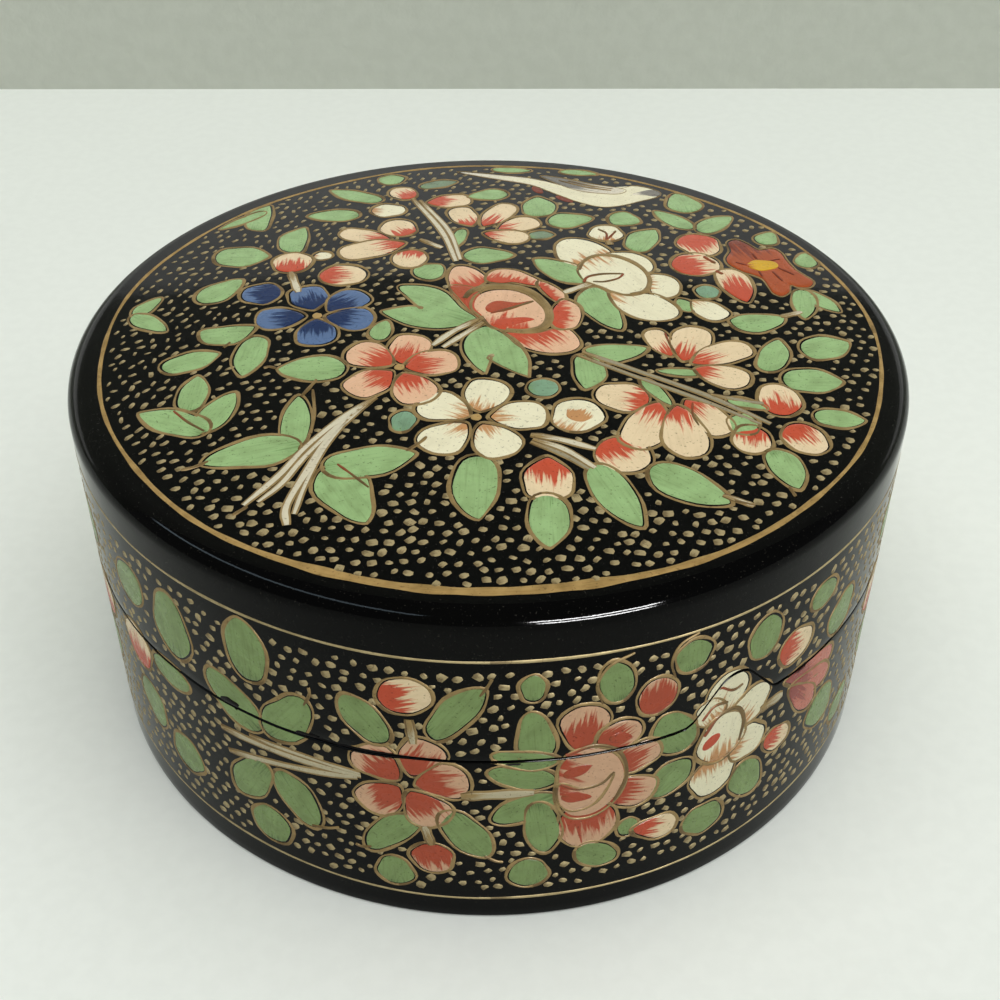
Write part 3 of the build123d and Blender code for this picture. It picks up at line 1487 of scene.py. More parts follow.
class LidPainting:
    """The garland on the lid."""

    LEAVES: Table = (
        (-12.5, 37.1, 3.4, 3.0, 20),
        (-16.8, 32.3, 7.5, 2.7, 153),
        (-0.1, 32.0, 5.0, 2.9, 190),
        (-27.5, 26.5, 7.0, 3.2, 90, 0, 0.6),
        (-30.2, 25.8, 6.6, 1.4, 222),
        (-19.1, 26.5, 6.3, 3.1, 180),
        (-22.4, 20.2, 6.6, 3.4, 88, 0, 0.6),
        (-28.9, 16.5, 6.4, 4.8, -5),
        (-30.2, 8.3, 6.4, 3.6, 50),
        (-38.0, 5.3, 4.4, 1.9, 58),
        (-37.1, 1.8, 5.6, 2.4, -40),
        (-28.3, -0.4, 5.9, 3.6, 8, 20, -0.6),
        (-6.8, 11.9, 3.8, 3.6, 50),
        (0.0, 15.6, 5.9, 3.5, 0),
        (-11.5, -1.0, 4.0, 2.2, 80),
        (-31.3, -6.2, 6.2, 3.5, 25),
        (-25.2, -5.6, 7.6, 3.4, -95),
        (-18.4, -8.3, 7.0, 4.5, 180),
        (-30.1, -12.2, 6.2, 3.0, 88),
        (-27.0, -15.6, 7.0, 3.2, 70),
        (-31.4, -17.2, 8.0, 3.7, 155),
        (-19.0, -17.5, 8.6, 2.9, 92),
        (-22.9, -22.2, 9.5, 4.4, 195, 26),
        (-11.4, -23.8, 8.8, 4.4, 12),
        (-13.4, -29.0, 9.0, 4.8, -62),
        (-1.3, -28.0, 9.2, 4.4, -92, 18),
        (13.4, -4.8, 6.6, 3.2, 5, 0, -0.5),
        (9.9, -9.2, 6.2, 3.3, -88, -14, 0.35),
        (29.9, -5.4, 6.6, 3.1, 68),
        (36.0, -3.7, 5.8, 4.3, 25),
        (33.4, -10.1, 6.3, 4.3, 0),
        (34.9, -16.5, 5.0, 2.9, -8),
        (28.1, -24.9, 6.0, 3.3, -75),
        (18.7, -27.6, 8.6, 4.5, -38, 12),
        (11.6, -29.2, 9.6, 3.8, -68, 14),
        (5.2, -32.8, 7.2, 3.8, -90),
        (6.0, 28.7, 5.6, 4.2, 85),
        (10.0, 24.8, 5.6, 3.7, 15),
        (16.7, 25.4, 3.9, 3.6, -25),
        (3.0, 40.0, 5.0, 1.5, -5),
        (11.7, 39.2, 4.8, 1.5, -8),
        (8.1, 11.9, 7.8, 4.0, 137),
        (12.9, 3.6, 9.4, 4.1, -75, 0, -0.3),
        (18.8, 19.7, 6.4, 3.7, 66, 0, 0.3),
        (24.2, 30.4, 5.6, 4.2, 100),
        (22.7, 25.6, 6.3, 2.6, 132, 14),
        (27.6, 24.7, 6.3, 3.0, 45, -12),
        (33.5, 21.2, 3.6, 2.6, 60),
        (37.3, 15.8, 3.6, 2.5, 85),
        (29.4, 1.7, 6.2, 3.6, 10, 10, -0.4),
        (35.0, 5.4, 6.4, 2.6, -97),
        (37.2, 6.2, 5.6, 2.3, -52),
        (21.6, 4.4, 2.8, 2.0, 110),
        (25.2, -17.9, 3.5, 3.0, 85),
        (19.6, -9.1, 4.4, 1.2, 175),
        (17.0, -12.7, 5.2, 1.4, -60),
        (25.9, -14.6, 4.0, 1.3, -20),
        (-3.5, 20.1, 4.6, 1.6, -100),
    )
    TEAL: Table = (
        (-8.5, -17.8, 3.4, 2.4, 80),
        (5.5, -12.2, 3.1, 3.0, 0),
        (24.5, 7.5, 2.8, 2.6, 90),
    )
    GREY: Table = (
        (-6.4, 35.5, 4.9, 2.1, 20),
        (6.3, 20.7, 3.0, 2.1, 10),
    )
    CALYX_LEFT: Path = (
        (-1.2, 0.9),
        (-3.0, 3.4),
        (-4.8, 6.8),
        (-6.9, 8.3),
        (-9.7, 8.6),
        (-10.05, 7.8),
        (-9.2, 6.3),
        (-7.6, 3.7),
        (-7.6, 3.7),
        (-8.9, 3.9),
        (-11.2, 3.2),
        (-11.7, 2.7),
        (-10.2, 1.1),
        (-8.4, -0.15),
        (-5.8, -0.8),
        (-3.3, -0.4),
    )
    CALYX_BELOW: Path = (
        (-0.6, -0.4),
        (-2.0, -1.7),
        (-2.7, -3.7),
        (-2.5, -5.8),
        (-1.5, -8.1),
        (-0.5, -9.4),
        (-0.5, -9.4),
        (0.05, -6.8),
        (0.05, -6.8),
        (1.3, -8.1),
        (2.9, -9.4),
        (4.0, -10.0),
        (4.0, -10.0),
        (4.1, -7.3),
        (3.6, -5.3),
        (2.6, -3.2),
        (1.3, -1.7),
        (0.3, -0.7),
    )
    ROSE: tuple[tuple[float, Path], ...] = (
        (
            118,
            (
                (-4.4, 8.6),
                (-4.6, 10.6),
                (-4.1, 12.6),
                (-3.0, 13.0),
                (-1.7, 12.3),
                (-0.6, 10.9),
                (-0.3, 9.6),
                (-1.7, 7.5),
                (-3.0, 5.5),
                (-3.8, 5.5),
            ),
        ),
        (
            65,
            (
                (-0.3, 9.6),
                (0.05, 11.4),
                (1.3, 12.2),
                (3.1, 11.9),
                (4.7, 10.6),
                (5.9, 9.3),
                (6.2, 8.3),
                (4.5, 8.6),
                (2.8, 9.2),
                (1.3, 9.0),
            ),
        ),
        (
            25,
            (
                (5.9, 9.3),
                (7.2, 8.3),
                (8.3, 6.8),
                (8.5, 5.5),
                (8.0, 4.5),
                (7.0, 5.5),
                (6.2, 7.0),
                (5.7, 8.3),
            ),
        ),
        (
            0,
            (
                (8.5, 5.2),
                (9.8, 3.9),
                (10.05, 1.9),
                (9.5, -0.2),
                (8.5, -0.9),
                (7.2, -0.7),
                (6.7, 0.9),
                (7.0, 2.9),
                (7.5, 4.2),
            ),
        ),
        (
            -52,
            (
                (8.5, -0.9),
                (9.5, -2.7),
                (9.6, -4.3),
                (8.5, -5.4),
                (6.7, -5.7),
                (4.9, -5.3),
                (3.4, -4.3),
                (2.4, -2.7),
                (1.8, -1.7),
                (3.6, -1.9),
                (5.4, -1.7),
                (7.0, -0.9),
            ),
        ),
    )
    ROSE_LEFT: Path = (
        (-4.4, 8.3),
        (-3.0, 4.8),
        (-1.5, 1.9),
        (-0.9, 1.4),
        (-0.6, 4.0),
        (-1.0, 6.5),
        (-2.0, 8.0),
    )
    ROSE_CUP: Path = (
        (-0.6, 1.4),
        (-1.7, 3.4),
        (-1.5, 5.5),
        (-0.6, 6.8),
        (0.8, 7.4),
        (2.6, 7.3),
        (4.2, 6.3),
        (5.3, 4.7),
        (6.1, 2.9),
        (6.2, 0.9),
        (5.2, -0.7),
        (3.4, -1.2),
        (1.6, -1.1),
        (0.3, -0.4),
    )
    ROSE_RING: Path = (
        (-2.7, 5.5),
        (-2.0, 7.0),
        (-0.5, 8.05),
        (1.3, 8.3),
        (3.4, 7.95),
        (4.9, 6.8),
        (5.9, 5.0),
        (6.5, 2.9),
        (6.5, 0.9),
        (5.7, -0.7),
        (3.9, -1.4),
        (1.8, -1.2),
    )
    ROSE_MOUTH: Path = (
        (-0.4, 3.7),
        (0.8, 4.9),
        (3.2, 4.5),
        (4.8, 4.9),
        (3.0, 3.3),
        (1.2, 2.4),
        (-0.2, 2.5),
    )
    ROSE_SPOT: Path = (
        (0.6, -0.2),
        (0.8, 0.9),
        (1.8, 1.1),
        (3.9, 1.4),
        (5.0, 0.9),
        (3.4, 0.1),
        (1.8, -0.7),
    )
    WHITE_ROSE: tuple[tuple[float, Path], ...] = (
        (
            125,
            (
                (7.9, 16.3),
                (8.0, 18.3),
                (9.0, 19.7),
                (10.6, 19.9),
                (12.4, 19.1),
                (13.9, 17.5),
                (14.3, 16.3),
                (13.1, 15.7),
                (11.6, 15.0),
                (10.6, 13.9),
                (9.8, 12.7),
                (8.8, 13.7),
                (8.1, 15.0),
            ),
        ),
        (
            45,
            (
                (13.9, 16.0),
                (15.2, 16.5),
                (17.0, 16.3),
                (18.5, 15.0),
                (19.0, 13.2),
                (18.5, 11.9),
                (17.4, 12.1),
                (16.7, 13.4),
                (15.4, 15.0),
            ),
        ),
        (
            -10,
            (
                (18.3, 11.1),
                (19.8, 11.2),
                (21.1, 10.4),
                (21.6, 8.8),
                (21.1, 6.8),
                (19.8, 6.0),
                (18.5, 6.5),
                (18.2, 8.1),
                (18.4, 9.6),
            ),
        ),
        (
            -45,
            (
                (13.6, 7.0),
                (15.2, 6.3),
                (17.2, 6.8),
                (18.8, 6.3),
                (20.4, 4.5),
                (20.9, 2.9),
                (20.2, 1.6),
                (18.3, 1.0),
                (16.2, 1.5),
                (14.7, 2.9),
                (13.9, 4.7),
            ),
        ),
    )
    WHITE_CUP: Path = (
        (10.3, 12.2),
        (11.1, 14.2),
        (12.6, 15.5),
        (14.7, 15.5),
        (16.5, 14.2),
        (17.7, 12.2),
        (18.2, 9.8),
        (17.5, 7.5),
        (15.9, 6.5),
        (14.2, 7.0),
        (12.6, 8.3),
        (11.1, 9.3),
        (10.5, 10.6),
    )
    WHITE_RING: Path = (
        (10.4, 12.0),
        (11.1, 14.2),
        (12.8, 15.6),
        (14.9, 15.3),
        (16.7, 13.9),
        (17.9, 11.9),
        (18.2, 9.6),
        (17.5, 7.4),
        (15.8, 6.6),
    )
    BUDS: Table = (
        (-10.8, 32.8, 3.8, 3.2, 130),
        (-5.0, 30.3, 5.5, 3.6, 10),
        (-22.9, 14.5, 4.7, 4.5, 90),
        (-16.7, 11.1, 5.4, 4.6, 0),
        (12.8, -23.1, 5.5, 5.3, -60),
        (29.3, -13.6, 5.4, 4.3, 92),
        (25.5, -20.5, 4.3, 3.7, -100),
        (30.8, -20.1, 5.0, 4.2, -65),
        (5.5, -26.7, 6.2, 4.9, -90),
    )
    CREAM_BUDS: Table = (
        (-12.4, 27.8, 4.2, 3.4, 0),
        (-19.4, 15.9, 2.1, 1.8, 0),
        (14.1, 21.5, 4.0, 4.0, 90),
        (24.2, 3.6, 4.8, 3.4, -50),
        (8.7, -16.9, 5.5, 5.0, 60),
    )
    HALF_OPEN: Table = (
        (-10.9, 22.8, 4.6, 4.2, 125),
        (-14.8, 20.8, 6.5, 3.2, 160),
        (-13.7, 17.6, 8.0, 4.2, 200),
        (-9.2, 14.9, 4.2, 4.0, 262),
        (-3.0, 25.8, 5.5, 3.4, 110),
        (1.0, 26.3, 7.0, 3.4, 60),
        (3.5, 23.4, 5.6, 3.6, 30),
        (2.1, 20.5, 5.5, 3.2, -15),
        (18.3, -3.5, 5.4, 2.8, 108),
        (21.4, -3.6, 7.0, 4.2, 72),
        (24.4, -5.5, 7.4, 3.7, 28),
        (24.0, -9.5, 5.8, 3.9, -22),
        (13.4, -13.6, 5.5, 4.7, 165),
        (15.6, -18.2, 8.0, 4.4, -113),
        (21.5, -16.8, 6.6, 3.9, -58),
        (19.0, -19.2, 8.4, 4.3, -86),
    )
    SWEET_PEA: Table = (
        (25.0, 18.9, 5.6, 5.0, -72),
        (24.0, 13.8, 5.7, 5.2, 12),
        (28.1, 9.2, 7.6, 3.8, 100),
    )
    RUST_STAR: Path = (
        (28.6, 19.7),
        (29.7, 20.5),
        (30.8, 19.5),
        (32.0, 18.0),
        (33.7, 18.5),
        (34.6, 17.3),
        (34.9, 15.6),
        (35.6, 13.3),
        (36.4, 12.0),
        (37.2, 10.6),
        (36.5, 9.3),
        (35.2, 9.2),
        (34.4, 9.6),
        (34.0, 8.0),
        (33.0, 7.0),
        (32.1, 7.6),
        (31.8, 9.0),
        (31.4, 10.8),
        (30.4, 11.8),
        (29.3, 12.5),
        (28.0, 14.0),
        (27.8, 15.6),
        (28.6, 17.6),
    )
    BIRD: Path = (
        (-4.0, 39.4),
        (1.0, 38.4),
        (5.5, 37.2),
        (9.5, 34.8),
        (13.5, 33.8),
        (17.0, 34.3),
        (18.6, 35.2),
        (20.3, 34.8),
        (21.8, 33.4),
        (21.3, 32.0),
        (19.0, 30.6),
        (16.5, 29.2),
        (14.0, 28.8),
        (11.2, 30.2),
        (8.2, 32.8),
        (5.2, 35.4),
        (0.5, 37.3),
    )
    WING: Path = (
        (6.7, 38.1),
        (7.9, 36.6),
        (10.0, 34.5),
        (12.0, 33.3),
        (14.1, 32.8),
        (16.2, 32.7),
        (17.3, 33.5),
        (17.0, 34.2),
        (15.1, 34.9),
        (13.0, 35.6),
        (10.9, 36.6),
        (8.8, 37.6),
    )
    BEAK: Path = (
        (18.1, 32.6),
        (19.8, 32.4),
        (21.0, 32.1),
        (21.8, 32.8),
        (21.6, 33.7),
        (20.6, 34.1),
        (19.5, 33.6),
    )
    STALKS: tuple[tuple[float, Path], ...] = (
        (0.7, ((-9.5, 31.0), (-5.7, 21.9), (-3.8, 14.1))),
        (0.6, ((-8.6, 30.6), (-4.9, 22.2), (-3.3, 14.5))),
        (0.8, ((4.0, -20.1), (7.0, -20.9), (10.2, -22.3))),
        (0.7, ((4.2, -20.8), (7.2, -22.4), (10.0, -25.2))),
        (0.7, ((-11.4, -13.7), (-14.6, -17.2), (-17.6, -21.6), (-19.8, -26.0), (-22.6, -30.2))),
        (0.6, ((-11.9, -14.4), (-15.0, -18.6), (-17.7, -23.4), (-19.4, -27.2), (-21.3, -29.8))),
        (0.8, ((-12.4, -15.0), (-15.4, -20.0), (-17.2, -25.4), (-18.6, -30.4), (-18.3, -33.1))),
        (0.5, ((-13.6, -16.6), (-15.9, -22.0), (-17.2, -27.6), (-17.8, -31.6))),
        (0.9, ((-22.8, 12.2), (-21.4, 7.4))),
        (0.8, ((-1.2, 1.0), (-3.8, -1.4), (-6.0, -4.2))),
        (0.7, ((-0.6, 0.4), (-3.0, -2.4), (-4.9, -4.6))),
        (0.9, ((12.4, 9.5), (10.4, 8.2), (8.4, 6.8))),
        (0.7, ((-8.2, 19.8), (-5.5, 17.5))),
        (0.8, ((14.2, 19.5), (14.4, 18.4))),
        (0.7, ((32.0, 2.4), (34.6, 3.6))),
        (0.6, ((21.6, -29.0), (24.3, -30.4))),
    )
    GREY_STALKS: tuple[tuple[float, Path], ...] = (
        (0.6, ((9.8, -5.5), (15.7, -9.2), (22.0, -13.2), (27.8, -17.8))),
        (0.5, ((9.4, -6.2), (15.2, -10.1), (21.6, -14.2), (26.8, -17.9))),
        (0.5, ((22.4, -13.0), (25.6, -14.0), (27.6, -14.4))),
        (0.5, ((4.0, -21.2), (7.0, -23.2), (9.4, -25.4))),
    )
    DARK_STROKES: tuple[tuple[float, Path], ...] = (
        (0.5, ((0.2, 2.2), (2.6, 3.4), (4.9, 4.8))),
        (0.5, ((10.7, 9.1), (11.3, 10.4), (13.1, 11.1), (15.4, 11.2))),
        (0.4, ((15.4, 11.2), (14.7, 10.1), (13.1, 9.3), (11.8, 9.3))),
        (0.3, ((-14.4, -24.5), (-12.8, -26.2), (-11.2, -28.0))),
        (0.35, ((-31.5, -15.3), (-29.8, -17.2), (-27.9, -18.8))),
        (0.35, ((14.0, 19.6), (14.1, 21.4), (13.2, 22.4))),
        (0.35, ((14.2, 19.8), (14.8, 21.0), (15.3, 22.0))),
        (0.3, ((18.9, -1.6), (19.2, -3.8), (19.7, -5.8))),
        (0.3, ((20.4, -14.6), (20.2, -16.6), (20.6, -18.4))),
        (0.5, ((25.2, 15.8), (25.9, 14.8), (26.4, 14.2))),
        (0.5, ((26.2, 12.4), (26.9, 11.6))),
    )
    TAILS: tuple[tuple[float, Path], ...] = (
        (0.4, ((-19.0, -13.4), (-18.2, -11.6), (-17.7, -10.4))),
        (0.4, ((-26.8, -23.6), (-28.0, -24.4), (-29.2, -24.8))),
        (0.4, ((-8.0, -22.6), (-6.8, -21.4), (-6.1, -20.4))),
        (0.35, ((-28.2, -3.9), (-27.6, -2.9))),
        (0.35, ((-22.0, -8.2), (-22.8, -7.8), (-23.4, -8.0))),
        (0.4, ((-17.9, -12.2), (-17.4, -16.0), (-17.4, -19.6))),
        (0.4, ((-22.2, -30.4), (-23.4, -31.6))),
        (0.35, ((28.0, -27.6), (28.4, -29.0))),
        (0.35, ((22.6, -29.8), (24.4, -30.4))),
        (0.3, ((9.0, 36.6), (12.4, 34.6), (15.6, 33.6))),
        (0.25, ((10.2, 36.4), (13.2, 34.9), (15.8, 34.1))),
    )
    STAR_LINES: tuple[tuple[float, Path], ...] = (
        (0.4, ((31.4, 15.6), (31.1, 17.0))),
        (0.35, ((32.8, 15.2), (34.2, 15.8))),
        (0.4, ((33.6, 13.6), (35.2, 12.0))),
        (0.4, ((32.8, 12.6), (33.6, 10.4))),
        (0.35, ((31.2, 12.6), (31.4, 11.4))),
        (0.4, ((30.0, 14.0), (28.8, 14.6))),
    )

    def painting(self) -> Painting:
        """Everything on the lid but its dots and its ring, back to front.

        Returns:
            The painting.
        """
        art = Painting()
        art.marks += leaves(self.LEAVES, LEAF_TINTS)
        art.marks += leaves(self.TEAL, (Tint.TEAL, Tint.LEAF_SHADE), Form.ROUND)
        art.marks += leaves(self.GREY, (Tint.GREY_LEAF, Tint.LEAF_SHADE))
        calyx = Patch(self.CALYX_LEFT, 150, pale=Tint.LEAF, deep=Tint.LEAF_SHADE)
        art.marks.append(calyx)
        art.marks.append(replace(calyx, path=self.CALYX_BELOW, heading=-80.0))
        art.pens += strokes(self.STALKS, 0.16, order=4)
        art.pens += strokes(self.GREY_STALKS, 0.16, pale=Tint.STEM_GREY)
        self.small_flowers(art)
        self.roses(art)
        self.back(art)
        dark = {"coat": Coat.LINES, "pale": Tint.LINE_SHADE, "deep": Tint.MOUTH, "order": 10}
        art.pens += strokes(self.DARK_STROKES, 0.0, **dark)
        art.pens += strokes(self.TAILS, 0.0, **(dark | {"pale": Tint.LINE, "deep": Tint.LINE_SHADE}))
        return art

    def small_flowers(self, art: Painting) -> None:
        """Adds the five-petalled flowers, the half-open ones, the buds and the rust star."""
        blue: Path = ((-20.0, 6.0), (-15.9, 5.1), (-15.2, 1.4), (-18.6, -1.1), (-22.8, 1.9))
        coral: Path = ((-8.5, -4.9), (-6.0, -7.6), (-7.8, -12.0), (-12.1, -10.9), (-12.3, -6.1))
        cream: Path = ((-0.4, -13.5), (2.9, -16.9), (0.5, -20.9), (-4.2, -20.3), (-4.4, -15.6))
        art.marks += petals((-18.8, 2.2), blue, (5.3, 4.4), (Tint.BLUE, Tint.NAVY), 0.62)
        art.marks += petals((-9.3, -8.3), coral, (5.6, 4.5), CORAL_TINTS, 0.54)
        art.marks += petals((-1.3, -17.2), cream, (5.6, 4.6), CREAM_TINTS, 0.26)
        seed = Mark(coat=Coat.PETALS, pale=Tint.GOLD, deep=Tint.LINE, reach=0.3, line=0.0)
        for centre in ((-18.8, 2.2), (-9.3, -8.3), (-1.3, -17.2)):
            looks = {"coat": seed.coat, "pale": seed.pale, "deep": seed.deep, "line": seed.line}
            art.marks.append(Touch(*centre, 1.1, 1.1, 0, form=Form.ROUND, order=4, **looks))
        art.marks += blooms(((-25.5, 7.3, 4.5, 4.4, 180),), (Tint.BLUE, Tint.NAVY), 0.75)
        art.marks += blooms(self.HALF_OPEN, BUD_TINTS, 0.38)
        art.marks += blooms(self.BUDS, BUD_TINTS, 0.57)
        art.marks += blooms(self.CREAM_BUDS, CREAM_TINTS, 0.2)
        blotch = Touch(8.9, -16.7, 2.5, 2.8, 60, form=Form.ROUND, coat=Coat.PETALS, line=0.0)
        art.marks.append(replace(blotch, pale=Tint.CREAM, deep=Tint.BISCUIT, reach=0.8, order=6))
        art.marks += blooms(self.SWEET_PEA, BUD_TINTS, 0.74)
        star = Patch(self.RUST_STAR, -70, coat=Coat.PETALS, pale=Tint.RUST, deep=Tint.RUST_SHADE)
        art.marks.append(replace(star, reach=0.3, line=0.24, order=3))
        rays = {"coat": Coat.LINES, "pale": Tint.RUST_SHADE, "deep": Tint.RUST_SHADE}
        art.pens += strokes(self.STAR_LINES, 0.0, order=5, **rays)
        eye = Touch(31.9, 14.1, 3.8, 2.6, 10, form=Form.ROUND, coat=Coat.PETALS)
        art.marks.append(replace(eye, pale=Tint.YELLOW, deep=Tint.RUST, line=0.0, order=6))

    def roses(self, art: Painting) -> None:
        """Adds the coral rose in the middle of the lid and the cream one beside it."""
        art.marks += patches(self.ROSE, CORAL_TINTS, 0.62)
        under = Patch(self.ROSE_LEFT, 100, coat=Coat.PETALS, line=0.2, order=3)
        art.marks.append(replace(under, pale=Tint.UNDER_ROSE, deep=Tint.CORAL, reach=0.4))
        art.marks += patches(((80, self.ROSE_CUP),), CORAL_TINTS, 0.22, 5)
        mouth = replace(under, path=self.ROSE_MOUTH, line=0.0, order=7)
        art.marks.append(replace(mouth, pale=Tint.UNDER_ROSE, deep=Tint.MOUTH))
        art.marks.append(replace(mouth, path=self.ROSE_SPOT, pale=Tint.CORAL, deep=Tint.CORAL))
        art.marks += patches(self.WHITE_ROSE, CREAM_TINTS, 0.22)
        art.marks += patches(((-60, self.WHITE_CUP),), CREAM_TINTS, 0.12, 5)
        ring = {"coat": Coat.LINES, "pale": Tint.LINE, "deep": Tint.LINE_SHADE, "order": 9}
        art.pens += strokes(((1.1, self.ROSE_RING), (0.62, self.WHITE_RING)), 0.0, **ring)

    def back(self, art: Painting) -> None:
        """Adds the bird at the back of the lid and the reddish marks beside it."""
        looks = {"coat": Coat.PETALS, "line": 0.12}
        body = Patch(self.BIRD, -20, pale=Tint.CREAM, deep=Tint.FEATHER, reach=0.3, **looks)
        wing = Patch(self.WING, -25, pale=Tint.FEATHER, deep=Tint.FEATHER_GREY, **looks)
        art.marks.append(replace(body, order=1))
        art.marks.append(replace(wing, reach=0.7, order=4))
        beak = replace(wing, path=self.BEAK, heading=160.0, line=0.0)
        art.marks.append(replace(beak, reach=0.8, order=4))
        red = {"coat": Coat.PETALS, "pale": Tint.RUST_SHADE, "deep": Tint.MOUTH, "line": 0.0}
        for place in ((6.2, 33.7, 2.4, 1.2, -65), (9.5, 31.0, 2.8, 1.1, -42), (23.7, 32, 2.6, 1.1, -20)):
            art.marks.append(Touch(*place, form=Form.ROUND, **red))


